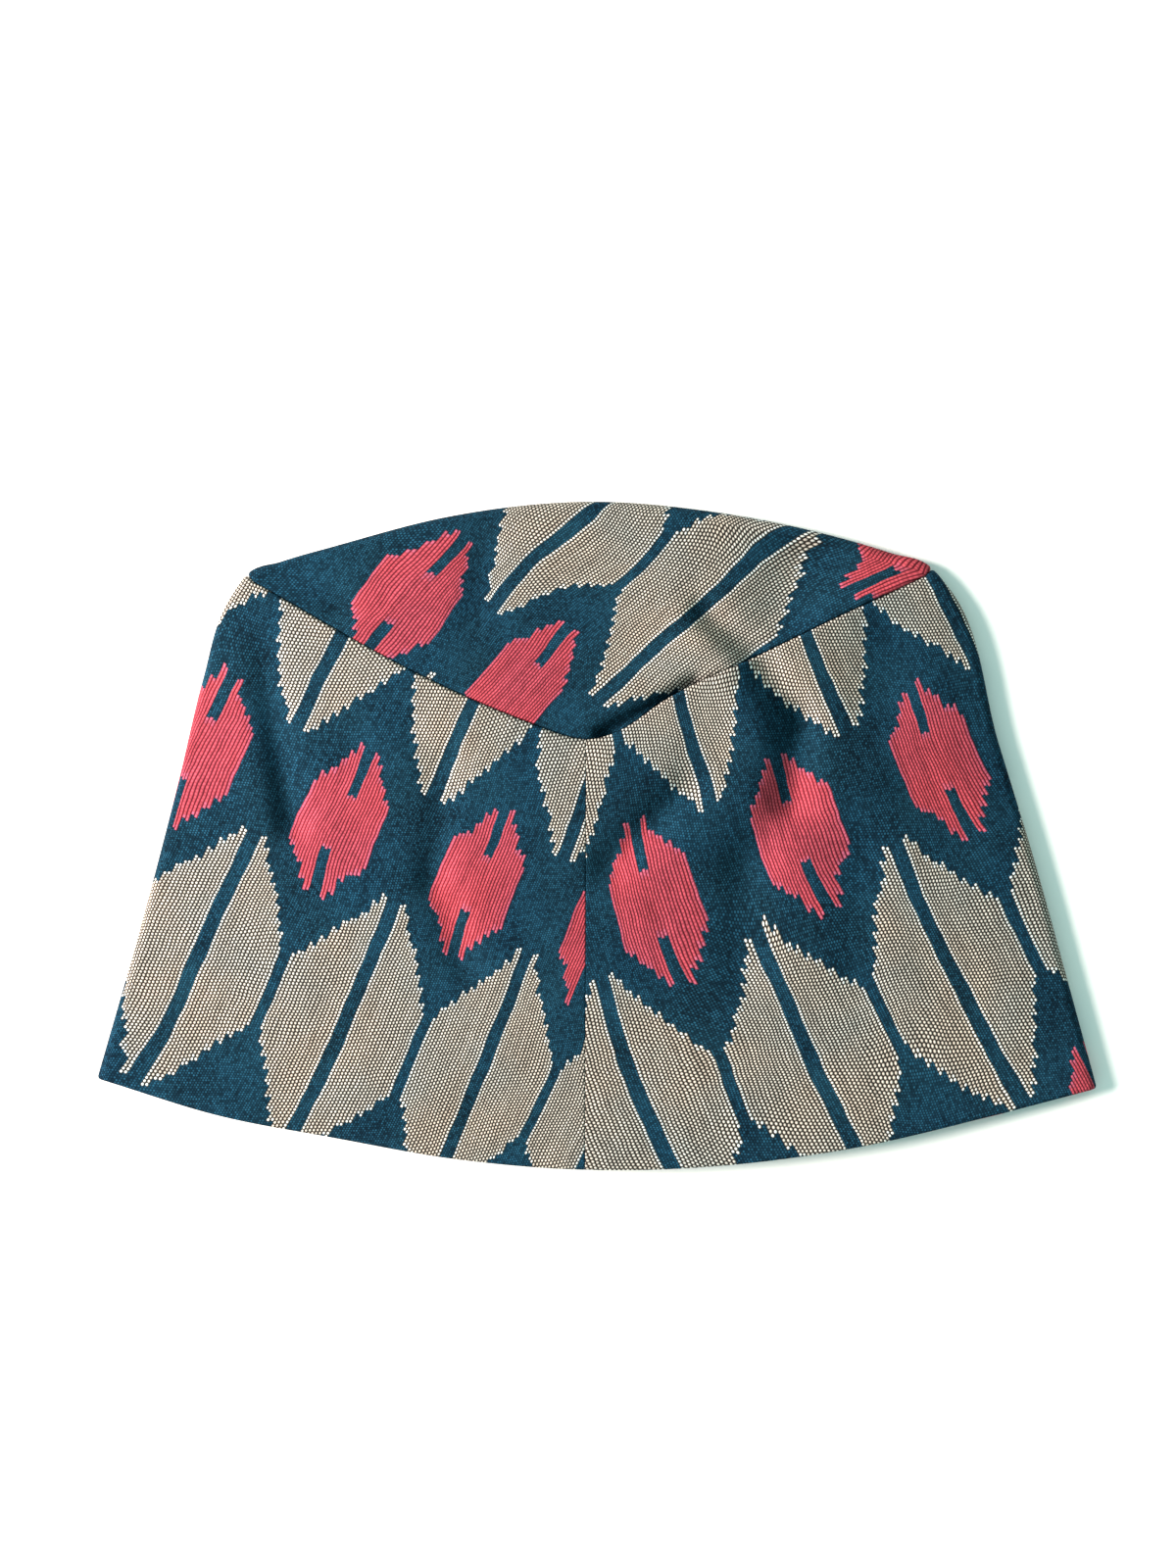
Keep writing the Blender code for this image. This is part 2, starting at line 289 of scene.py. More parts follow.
# Where the woven motifs are seen on the right half band
RIGHT_MARKS: tuple[MotifMark, ...] = (
    *motif(
        -2, 0,
        (TIP, -1, 1, -1.0, -40.8), (TIP, 1, 1, 4.3, -38.4), (SIDE, 1, 1, 31.2, -59.8),
        (SIDE, 1, -1, 40.7, -84.2), (SIDE, -1, -1, -4.0, -94.0), (CHANNEL, 0, -0.43, 20.1, -90.5),
    ),
    *motif(
        0, 0,
        (TIP, -1, 1, 42.9, -31.3), (TIP, 1, 1, 47.6, -24.2), (TAPER, -1, 1, 41.2, -45.8),
        (TAPER, 1, 1, 61.0, -35.5), (SIDE, -1, 1, 37.0, -60.8), (SIDE, -1, -1, 42.9, -77.8),
        (SIDE, 1, 1, 75.0, -43.2), (SIDE, 1, -1, 85.8, -64.5), (CHANNEL, 0, -0.68, 71.6, -86.1),
    ),
    *motif(
        2, 0,
        (TIP, -1, 1, 81.6, -4.3), (TIP, 1, 1, 87.0, -0.4), (SIDE, -1, 1, 77.0, -36.9),
        (SIDE, -1, -1, 85.8, -56.4), (SIDE, 1, 1, 111.1, -17.4), (SIDE, 1, -1, 122.5, -37.9),
        (TIP, -1, -1, 115.8, -75.8), (TIP, 1, -1, 123.3, -73.4),
    ),
    *motif(
        4, 0,
        (TAPER, -1, 1, 119.3, 1.8), (SIDE, -1, 1, 116.7, -14.0), (SIDE, -1, -1, 126.2, -37.9),
    ),
    *motif(
        1, -1,
        (TIP, -1, 1, 94.0, -86.5),
    ),
    *motif(
        3, -1,
        (TIP, -1, 1, 133.8, -59.2),
    ),
    *motif(
        -1, 1,
        (TIP, -1, 1, 7.6, 3.4), (TIP, 1, 1, 13.2, 5.0), (NOTCH, 0, 1, 12.5, -9.6),
        (NOTCH, 0, -1, 18.4, -28.6), (TIP, -1, -1, 20.6, -41.5), (TIP, 1, -1, 26.9, -41.0),
        (SIDE, -1, 1, 3.6, -13.0), (SIDE, -1, -1, 7.3, -32.5), (SIDE, 1, 1, 25.3, -5.2),
        (SIDE, 1, -1, 32.2, -24.7),
    ),
    *motif(
        1, 1,
        (TIP, -1, 1, 47.8, 22.1), (TIP, 1, 1, 52.6, 23.3), (NOTCH, 0, 1, 52.3, 10.6),
        (NOTCH, 0, -1, 59.0, -8.4), (TIP, -1, -1, 61.4, -20.6), (TIP, 1, -1, 67.9, -19.9),
        (SIDE, -1, 1, 42.7, 5.5), (SIDE, -1, -1, 48.2, -12.0), (SIDE, 1, 1, 65.8, 14.3),
        (SIDE, 1, -1, 70.9, -0.8),
    ),
    *motif(
        3, 1,
        (TIP, -1, 1, 85.8, 41.1), (TIP, 1, 1, 91.2, 41.4), (NOTCH, 0, 1, 91.5, 29.6),
        (NOTCH, 0, -1, 99.4, 12.4), (TIP, -1, -1, 101.9, -0.2), (TIP, 1, -1, 108.7, 0.8),
        (SIDE, -1, 1, 82.2, 26.0), (SIDE, -1, -1, 88.7, 9.4), (SIDE, 1, 1, 102.8, 33.8),
        (SIDE, 1, -1, 110.6, 16.2),
    ),
    *motif(
        -2, 2,
        (SIDE, 1, -1, 5.2, 22.5), (TAPER, 1, -1, 0.3, 4.6),
    ),
    *motif(
        0, 2,
        (TIP, -1, -1, 28.9, 5.7), (TIP, 1, -1, 35.4, 9.9), (TAPER, -1, -1, 17.9, 18.5),
        (SIDE, -1, -1, 8.0, 27.5), (SIDE, 1, -1, 39.6, 42.0), (CHANNEL, 0, -0.13, 23.1, 39.6),
    ),
    *motif(
        2, 2,
        (TIP, -1, -1, 67.0, 27.7), (TIP, 1, -1, 73.8, 30.4), (SIDE, -1, -1, 43.4, 49.4),
        (SIDE, 1, -1, 75.6, 62.2), (CHANNEL, 0, -0.20, 58.5, 56.9),
    ),
    *motif(
        4, 2,
        (TIP, -1, -1, 103.6, 49.2), (SIDE, -1, -1, 77.5, 64.5),
    ),
)

# Where the woven motifs are seen on the crown
CROWN_MARKS: tuple[MotifMark, ...] = (
    *motif(
        -1, -1,
        (TIP, -1, 1, -38.4, 86.4), (TIP, 1, 1, -34.5, 81.8), (NOTCH, 0, 1, -46.5, 73.1),
        (NOTCH, 0, -1, -58.8, 59.5), (SIDE, -1, 1, -59.9, 78.6), (SIDE, -1, -1, -68.6, 66.0),
        (SIDE, 1, 1, -36.9, 68.3), (SIDE, 1, -1, -46.5, 53.4),
    ),
    *motif(
        1, -1,
        (TIP, -1, 1, -10.0, 60.6), (TIP, 1, 1, -5.2, 57.7), (NOTCH, 0, 1, -16.3, 48.1),
        (SIDE, -1, 1, -24.9, 54.8), (SIDE, -1, -1, -36.8, 41.0), (SIDE, 1, 1, -8.3, 41.8),
    ),
    *motif(
        0, 0,
        (TIP, -1, -1, -31.6, 65.4), (TIP, 1, -1, -27.3, 61.8), (TAPER, -1, -1, -28.9, 81.0),
        (SIDE, 1, -1, 5.8, 71.0), (SIDE, 1, 1, 18.7, 86.3), (CHANNEL, 0, 0.06, -0.5, 92.0),
    ),
    *motif(
        2, 0,
        (TIP, -1, -1, -3.1, 38.9), (TIP, 1, -1, 2.9, 36.7), (SIDE, -1, -1, 4.9, 67.9),
        (SIDE, -1, 1, 23.5, 86.2), (SIDE, 1, 1, 51.2, 56.8), (TIP, 1, 1, 64.3, 88.5),
        (TAPER, -1, 1, 37.3, 94.2), (CHANNEL, 0, 0.02, 28.9, 63.5), (CHANNEL, 0, 0.95, 56.0, 86.4),
    ),
    *motif(
        3, 1,
        (TIP, -1, -1, 69.4, 70.8), (NOTCH, 0, -1, 83.1, 75.2), (SIDE, -1, -1, 75.2, 80.7),
    ),
)


def curve_through(table: Sequence[NamedTuple], key: str, at: np.ndarray) -> np.ndarray:
    """A smooth curve through a table's rows: cubic pieces whose slopes are those of neighbouring rows.

    Args:
        table: Rows with the key's column and columns x and y.
        key: The column that runs along the curve.
        at: Where along that column the curve is asked for.

    Returns:
        The x and y there, in a last axis of two.
    """
    keys = np.array([getattr(row, key) for row in table])
    points = np.array([(row.x, row.y) for row in table])
    slopes = np.gradient(points, keys, axis=0)
    at = np.asarray(at, dtype=float)
    row = np.clip(np.searchsorted(keys, at, side="right") - 1, 0, len(keys) - 2)
    span = (keys[row + 1] - keys[row])[..., None]
    k = (at[..., None] - keys[row][..., None]) / span
    start = (2 * k**3 - 3 * k**2 + 1) * points[row] + (k**3 - 2 * k**2 + k) * span * slopes[row]
    end = (3 * k**2 - 2 * k**3) * points[row + 1] + (k**3 - k**2) * span * slopes[row + 1]
    return start + end


def graded(length: float, step: float, near_start: bool, near_end: bool) -> np.ndarray:
    """Divisions of a length: even ones, with finer ones added where an edge is rounded.

    Args:
        length: The length that is divided.
        step: The even spacing.
        near_start: Whether finer divisions lie close to the start.
        near_end: Whether finer divisions lie close to the end.

    Returns:
        Shares of the length from 0 to 1, rising.
    """
    fine = np.array(EDGE_DIVISIONS) / length
    even = np.linspace(0.0, 1.0, max(2, round(length / step)) + 1)
    low = fine[-1] * EDGE_CLEARANCE if near_start else 0.0
    high = 1.0 - fine[-1] * EDGE_CLEARANCE if near_end else 1.0
    parts = [[0.0], even[(even > low) & (even < high)], [1.0]]
    if near_start:
        parts.append(fine)
    if near_end:
        parts.append(1.0 - fine)
    return np.unique(np.concatenate(parts))


@dataclass(frozen=True)
class ClothPatch:
    """A stretch of cloth as grids: its outer points, the way it faces, and its place on the flat cloth.

    The first two have a last axis of three, and flat has one of two, in millimetres in the plane
    that the upper half lies in, unrolled beyond the fold.
    """

    outer: np.ndarray
    facing: np.ndarray
    flat: np.ndarray

    def joined(self, others: Sequence["ClothPatch"], axis: int) -> "ClothPatch":
        """This patch and the others after it.

        Args:
            others: The patches that follow.
            axis: The axis of the grid that they are joined along.

        Returns:
            The whole patch.
        """
        rows = (self, *others)
        return ClothPatch(
            np.concatenate([p.outer for p in rows], axis=axis),
            np.concatenate([p.facing for p in rows], axis=axis),
            np.concatenate([p.flat for p in rows], axis=axis),
        )


@dataclass(frozen=True)
class FoldedForm:
    """The form of the folded cap: its outline, its heights, and how the cloth turns round the folds."""

    wall: float = 1.8
    fold_radius: float = 3.0
    rim_height: float = 10.0
    seam_height: float = 17.0
    crown_step: float = 1.2
    side_fall: float = 2.4
    crown_fall: float = 1.5
    back_rim_inset: float = 1.5
    outline_end: float = 4.0
    ridge_middle: float = 2.0
    station_step: float = 0.004
    fold_steps: int = 14
    settling: float = 25.0
    slow_wave: float = 0.16
    slant_wave: float = 0.12
    fine_wave: float = 0.05

    def normal(self, station: np.ndarray) -> np.ndarray:
        """The unit direction out of the outline in plan: its tangent turned a quarter to the left.

        Args:
            station: Where along the outline.

        Returns:
            The x and y of the direction, in a last axis of two.
        """
        ends = (0.0, self.outline_end)
        before = curve_through(OUTLINE, "station", np.clip(station - self.station_step, *ends))
        after = curve_through(OUTLINE, "station", np.clip(station + self.station_step, *ends))
        along = after - before
        along /= np.linalg.norm(along, axis=-1, keepdims=True)
        return np.stack([-along[..., 1], along[..., 0]], axis=-1)

    def centre(self, station: np.ndarray) -> np.ndarray:
        """The line that the cloth turns around: the outline moved in by the fold's radius."""
        return curve_through(OUTLINE, "station", station) - self.fold_radius * self.normal(station)

    def fold_top(self, station: np.ndarray) -> np.ndarray:
        """The points at the top of the fold at some stations, right over its centre line."""
        centre = self.centre(station)
        return np.concatenate([centre, np.full((len(station), 1), 2 * self.fold_radius)], axis=-1)

    def fold_angles(self) -> np.ndarray:
        """The angles of the divisions round a fold, from the top to the table, without the two ends."""
        return np.linspace(np.pi / 2, -np.pi / 2, self.fold_steps + 1)[1:-1]

    def fold_station(self, side: Side, climb: np.ndarray) -> np.ndarray:
        """The outline station of a side fold at a climb of 0 at the rim to 1 at the corner."""
        climb = np.asarray(climb, dtype=float)
        return climb if side is Side.LEFT else self.outline_end - climb

    def edge_line(
        self, table: Sequence[EdgePoint], across: np.ndarray, climb: float, half: Half
    ) -> np.ndarray:
        """The rim or the crown seam in plan, drawn out at each side so that it ends on the folds.

        Args:
            table: The front half's line; the back half's is its mirror image.
            across: From -1 at the left fold to 1 at the right fold.
            climb: 0 for the rim, 1 for the crown seam.
            half: The half of the cap.

        Returns:
            The x and y of each point.
        """
        flip = 1.0 if half is Half.FRONT else -1.0
        mirror = np.array([flip, 1.0])
        line = curve_through(table, "across", flip * across) * mirror
        for side in Side:
            end = curve_through(table, "across", np.array(flip * side.value)) * mirror
            target = self.centre(self.fold_station(side, climb))
            line = line + np.clip(side.value * across, 0.0, 1.0)[..., None] * (target - end)
        return line

    def band_plan(self, side: Side, share: np.ndarray, climb: np.ndarray, half: Half) -> np.ndarray:
        """Plan places on a half band: straight lines from rim to seam, bowed with the fold on their side.

        Args:
            side: The half band.
            share: 0 at its middle seam to 1 at its fold.
            climb: 0 at the rim to 1 at the crown seam.
            half: Front or back.

        Returns:
            A grid of x and y, share along its first axis.
        """
        rim = self.edge_line(RIM, side.value * share, 0.0, half)
        if half is Half.BACK:
            rim = rim + (1 - share)[:, None] * np.array([0.0, self.back_rim_inset])
        seam = self.edge_line(CROWN_SEAM, side.value * share, 1.0, half)
        c = climb[None, :, None]
        fold = self.centre(self.fold_station(side, climb))[None]
        foot = self.centre(self.fold_station(side, 0.0))
        head = self.centre(self.fold_station(side, 1.0))
        chord = (1 - c) * foot + c * head
        return (1 - c) * rim[:, None] + c * seam[:, None] + share[:, None, None] * (fold - chord)

    @staticmethod
    def pressed(creases: Sequence[Crease], plan: np.ndarray) -> np.ndarray:
        """How far the creases press the cloth down: a bell across each line, fading past its ends.

        Args:
            creases: The creases, with depths below 0 for ridges.
            plan: Plan places, x and y in a last axis of two.

        Returns:
            The depth at each place, exp(-(distance / width)^2) of each crease's own depth, added up.
        """
        total = np.zeros(plan.shape[:-1])
        for crease in creases:
            start = np.array([crease.x0, crease.y0])
            line = np.array([crease.x1, crease.y1]) - start
            length = np.linalg.norm(line)
            line /= length
            offset = plan - start
            along = offset @ line
            beyond = np.maximum(0.0, np.maximum(-along, along - length))
            across = offset @ np.array([-line[1], line[0]])
            total += crease.depth * np.exp(-(across**2 + beyond**2) / crease.width**2)
        return total

    def ripple(self, plan: np.ndarray) -> np.ndarray:
        """The slight unevenness of handled cloth: a slow patchwork, slanting waves and fine ones.

        Args:
            plan: Plan places, x and y in a last axis of two.

        Returns:
            The height of three products and sums of sines, 5 to 17 mm to the radian.
        """
        x, y = plan[..., 0], plan[..., 1]
        slow = np.sin(x / 11.0 + 0.7 * np.sin(y / 17.0)) * np.sin(y / 14.0 + 1.3)
        slant = np.sin((x + 1.6 * y) / 15.0 + 0.4)
        fine = np.sin((x - 0.5 * y) / 5.2 + 1.1) * np.sin((y + 0.4 * x) / 6.1)
        return self.slow_wave * slow + self.slant_wave * slant + self.fine_wave * fine

    def seam_rise(self, across: np.ndarray) -> np.ndarray:
        """Height of the cloth at the crown seam, highest at the front and down to the side folds."""
        low = 2 * self.fold_radius
        return low + (self.seam_height - low) * (1 - np.abs(across) ** self.side_fall)

    def band_top(self, share: np.ndarray, climb: np.ndarray, plan: np.ndarray) -> np.ndarray:
        """Height of the front half band: a low arch across, rising as a quarter sine from the rim.

        Args:
            share: 0 at the middle seam to 1 at the fold.
            climb: 0 at the rim to 1 at the crown seam.
            plan: The plan places, share along the first axis.

        Returns:
            The heights, with the creases pressed in and fading out towards the fold.
        """
        low = 2 * self.fold_radius
        middle = self.rim_height + (self.seam_height - self.rim_height) * np.sin(climb * np.pi / 2)
        rise = (middle - low)[None, :] * (1 - share**self.side_fall)[:, None]
        edge = (1 - share**2)[:, None]
        return low + rise - edge * (self.pressed(BAND_CREASES, plan) - self.ripple(plan))

    def crown_top(self, across: np.ndarray, share: np.ndarray, plan: np.ndarray) -> np.ndarray:
        """Height of the crown's upper half: just under the band at the seam, falling to the ridge.

        Args:
            across: From -1 at the left corner to 1 at the right.
            share: 0 at the seam to 1 at the ridge, and below 0 on the allowance under the band.
            plan: The plan places, across along the first axis.

        Returns:
            The heights, kept inside the band's wall on the allowance.
        """
        low = 2 * self.fold_radius
        edge = (1 - across**2)[:, None]
        start = (self.seam_rise(across) - low)[:, None] - self.crown_step * edge
        rise = start * (1 - np.maximum(share, 0.0) ** self.crown_fall)[None, :]
        top = low + rise - edge * (self.pressed(CROWN_CREASES, plan) - self.ripple(plan))
        band = self.seam_rise(across)[:, None] - edge * (self.pressed(BAND_CREASES, plan) - self.ripple(plan))
        return np.where(share[None, :] < 0, np.minimum(top, band - self.crown_step), top)

    @staticmethod
    def lying(plan: np.ndarray, height: np.ndarray, up: float, flat: np.ndarray) -> ClothPatch:
        """A patch that faces straight up or down: its plan, lifted to the given heights.

        Args:
            plan: Plan places in a grid.
            height: Their heights.
            up: 1 for cloth that faces up, -1 for cloth that faces down.
            flat: Where the cloth lies when unrolled.

        Returns:
            The patch.
        """
        outer = np.concatenate([plan, np.broadcast_to(height, plan.shape[:-1])[..., None]], axis=-1)
        facing = np.zeros_like(outer)
        facing[..., 2] = up
        return ClothPatch(outer, facing, flat)

    def turned(self, station: np.ndarray, angles: np.ndarray) -> ClothPatch:
        """The cloth round a fold: half circles about the fold's centre line, from top to table.

        Args:
            station: Where along the outline, one row each.
            angles: Angles above the horizontal, falling from a quarter turn.

        Returns:
            The patch, angles along its first axis; its flat cloth is the arc length past the centre.
        """
        centre = self.centre(station)[None]
        normal = self.normal(station)[None]
        cosine = np.cos(angles)[:, None, None]
        sine = np.sin(angles)[:, None, None]
        level = cosine * normal
        facing = np.concatenate([level, np.broadcast_to(sine, level.shape[:-1] + (1,))], axis=-1)
        base = np.concatenate([centre, np.full(centre.shape[:-1] + (1,), self.fold_radius)], axis=-1)
        arc = self.fold_radius * (np.pi / 2 - angles)[:, None, None]
        return ClothPatch(base + self.fold_radius * facing, facing, centre + arc * normal)

    def unrolled(self, station: np.ndarray, plan: np.ndarray) -> np.ndarray:
        """Where the cloth under the fold would lie if it were folded out: its plan mirrored at the fold.

        The mirror's direction is each station's own at the fold. It goes over to the mean of them all
        further in, so that small bends of the fold do not swirl the pattern far from it.

        Args:
            station: The outline station of each column of the plan.
            plan: Plan places on the lower half, station along its second axis.

        Returns:
            The places in the plane of the upper half, half a turn of cloth further out.
        """
        centre = self.centre(station)[None]
        own = self.normal(station)[None]
        depth = -((plan - centre) * own).sum(-1, keepdims=True)
        settled = np.clip(depth / self.settling, 0.0, 1.0)
        normal = (1 - settled) * own + settled * own.mean(axis=1, keepdims=True)
        normal /= np.linalg.norm(normal, axis=-1, keepdims=True)
        tangent = np.stack([normal[..., 1], -normal[..., 0]], axis=-1)
        offset = plan - centre
        inward = -(offset * normal).sum(-1, keepdims=True)
        along = (offset * tangent).sum(-1, keepdims=True)
        return centre + normal * (np.pi * self.fold_radius + inward) + tangent * along


@dataclass(frozen=True)
class WovenRepeat:
    """The repeat of the inlaid cloth: split leaves, with notched rods between their points."""

    across: float = 43.2
    along: float = 106.7
    columns: int = 45
    rows: int = 112
    step_columns: int = 2
    leaf_rise: float = 1.5
    leaf_half_width: float = 19.9
    leaf_half_length: float = 38.1
    leaf_half_straight: float = 11.7
    leaf_slit: float = 1.92
    rod_half_width: float = 12.2
    rod_half_length: float = 22.5
    rod_half_straight: float = 9.3
    rod_slit: float = 1.50
    rod_flare: float = 0.20
    rod_core: float = 8.7
    rod_core_slope: float = 0.5
    rod_first_yarn: float = 1.5
    rod_hollow: float = 1.25
    raggedness: float = 1.8
    own_luck: float = 0.3
    pull_reach: float = 15.0
    pull_slack: float = 0.35
    fade: float = 30.0
    hold: float = 1e-3
    unit: float = 100.0

    @property
    def yarn_across(self) -> float:
        """The pitch of the inlaid yarns across the grain."""
        return self.across / self.columns

    @property
    def yarn_along(self) -> float:
        """The pitch of the binding yarns along the grain."""
        return self.along / self.rows

    @property
    def pair_across(self) -> float:
        """The width of the yarns that turn back together at a ragged end."""
        return self.step_columns * self.yarn_across

    def coordinates(
        self, marks: Sequence[MotifMark], flat: np.ndarray, seen: np.ndarray, away: np.ndarray
    ) -> np.ndarray:
        """The cloth's own coordinates: a cubic in plan, pulled to the marks, eased to a straight map.

        The cubic and the pulls hold on the upper half. Past the fold their difference from the best
        straight map dies away, so that the hidden cloth runs on evenly.

        Args:
            marks: The piece's motif marks.
            flat: Places on the unrolled cloth.
            seen: Where the nearest places on the upper half are seen.
            away: How far each place lies past the upper half, in a last axis of one.

        Returns:
            Millimetres across and along the grain.
        """
        places = np.array([(mark.x, mark.y) for mark in marks])
        cloth = np.array([self.cloth_place(mark) for mark in marks])
        straight = self.fitted(places, cloth, 1)
        cubic = self.fitted(places, cloth, 3)
        rest = cloth - self.powers(places, 3) @ cubic
        pulls = np.linalg.solve(self.nearness(places, places) + self.pull_slack * np.eye(len(rest)), rest)
        bend = self.powers(seen, 3) @ cubic + self.nearness(seen, places) @ pulls
        bend = bend - self.powers(seen, 1) @ straight
        return self.powers(flat, 1) @ straight + bend * np.exp(-away / self.fade)

    def nearness(self, places: np.ndarray, marks: np.ndarray) -> np.ndarray:
        """How near each place is to each mark: 1 upon it, falling as a bell of the pull's reach."""
        gap = np.linalg.norm(places[..., None, :] - marks, axis=-1)
        return np.exp(-((gap / self.pull_reach) ** 2))

    def cloth_place(self, mark: MotifMark) -> tuple[float, float]:
        """Where a mark's spot lies on the cloth.

        Args:
            mark: The mark.

        Returns:
            Millimetres across and along the grain.
        """
        leaf = mark.column % 2 == 0
        rise = self.leaf_rise if leaf else 0.0
        width = self.leaf_half_width if leaf else self.rod_half_width
        slit = self.leaf_slit if leaf else self.rod_slit
        length = self.leaf_half_length if leaf else self.rod_half_length
        straight = self.leaf_half_straight if leaf else self.rod_half_straight
        tip = slit + self.yarn_across / 2
        side, end = {
            Spot.TIP: (tip, length),
            Spot.TAPER: ((tip + width) / 2, (length + straight) / 2),
            Spot.SIDE: (width, straight),
            Spot.CHANNEL: (0.0, length),
            Spot.NOTCH: (0.0, self.rod_core),
        }[mark.spot]
        across = mark.column * self.across / 2 + mark.right * side
        along = mark.row * self.along / 2 + rise + mark.up * end
        return across, along

    def powers(self, places: np.ndarray, order: int) -> np.ndarray:
        """The products of x and y up to an order, in tenths of a metre, in a last axis."""
        u, v = places[..., 0] / self.unit, places[..., 1] / self.unit
        return np.stack([u**i * v**j for i in range(order + 1) for j in range(order + 1 - i)], axis=-1)

    def fitted(self, places: np.ndarray, cloth: np.ndarray, order: int) -> np.ndarray:
        """The least-squares factors of a map from plan to cloth, held back a little from swinging.

        Args:
            places: Plan places of the marks.
            cloth: Where the marks lie on the cloth.
            order: The order of the map, 1 for a straight one.

        Returns:
            A factor for each product of x and y, for across and for along.
        """
        base = self.powers(places, order)
        held = base.T @ base + self.hold * np.eye(base.shape[1])
        return np.linalg.solve(held, base.T @ cloth)


class Term:
    """A value in a material's formula: a node's output that takes part in arithmetic.

    The formula a * b + c is written as it stands, and each of its signs becomes one Math node.
    """

    def __init__(self, desk: "NodeDesk", socket: bpy.types.NodeSocket) -> None:
        """Keeps the output, and the desk that the formula's nodes are written on."""
        self.desk = desk
        self.socket = socket

    def __add__(self, other: Number) -> "Term":
        """The sum."""
        return self.desk.math("ADD", self, other)

    def __sub__(self, other: Number) -> "Term":
        """The difference."""
        return self.desk.math("SUBTRACT", self, other)

    def __rsub__(self, other: Number) -> "Term":
        """The difference from a plain number."""
        return self.desk.math("SUBTRACT", other, self)

    def __mul__(self, other: Number) -> "Term":
        """The product."""
        return self.desk.math("MULTIPLY", self, other)

    def __truediv__(self, other: Number) -> "Term":
        """The quotient."""
        return self.desk.math("DIVIDE", self, other)

    def __pow__(self, other: Number) -> "Term":
        """The power."""
        return self.desk.math("POWER", self, other)

    def __gt__(self, other: Number) -> "Term":
        """1 where this is the greater, and 0 elsewhere."""
        return self.desk.math("GREATER_THAN", self, other)

    def __lt__(self, other: Number) -> "Term":
        """1 where this is the smaller, and 0 elsewhere."""
        return self.desk.math("LESS_THAN", self, other)

    __radd__ = __add__
    __rmul__ = __mul__

    def floor(self) -> "Term":
        """The whole number below."""
        return self.desk.math("FLOOR", self)

    def odd(self) -> "Term":
        """1 at odd whole numbers and 0 at even ones."""
        return self.desk.math("FLOORED_MODULO", self, 2.0)

    def pingpong(self, length: float) -> "Term":
        """The value folded to and fro between 0 and a length."""
        return self.desk.math("PINGPONG", self, length)

    def ramp(self, start: float, end: float, low: float, high: float, smooth: bool = False) -> "Term":
        """A clamped ramp over this value.

        Args:
            start: Where the ramp starts.
            end: Where it ends.
            low: The result up to the start.
            high: The result past the end.
            smooth: Whether the ramp eases in and out.

        Returns:
            The ramp's result.
        """
        node = self.desk.add("ShaderNodeMapRange")
        node.interpolation_type = "SMOOTHSTEP" if smooth else "LINEAR"
        node.clamp = True
        names = ("Value", "From Min", "From Max", "To Min", "To Max")
        for name, value in zip(names, (self, start, end, low, high)):
            self.desk.feed(node.inputs[name], value)
        return Term(self.desk, node.outputs["Result"])


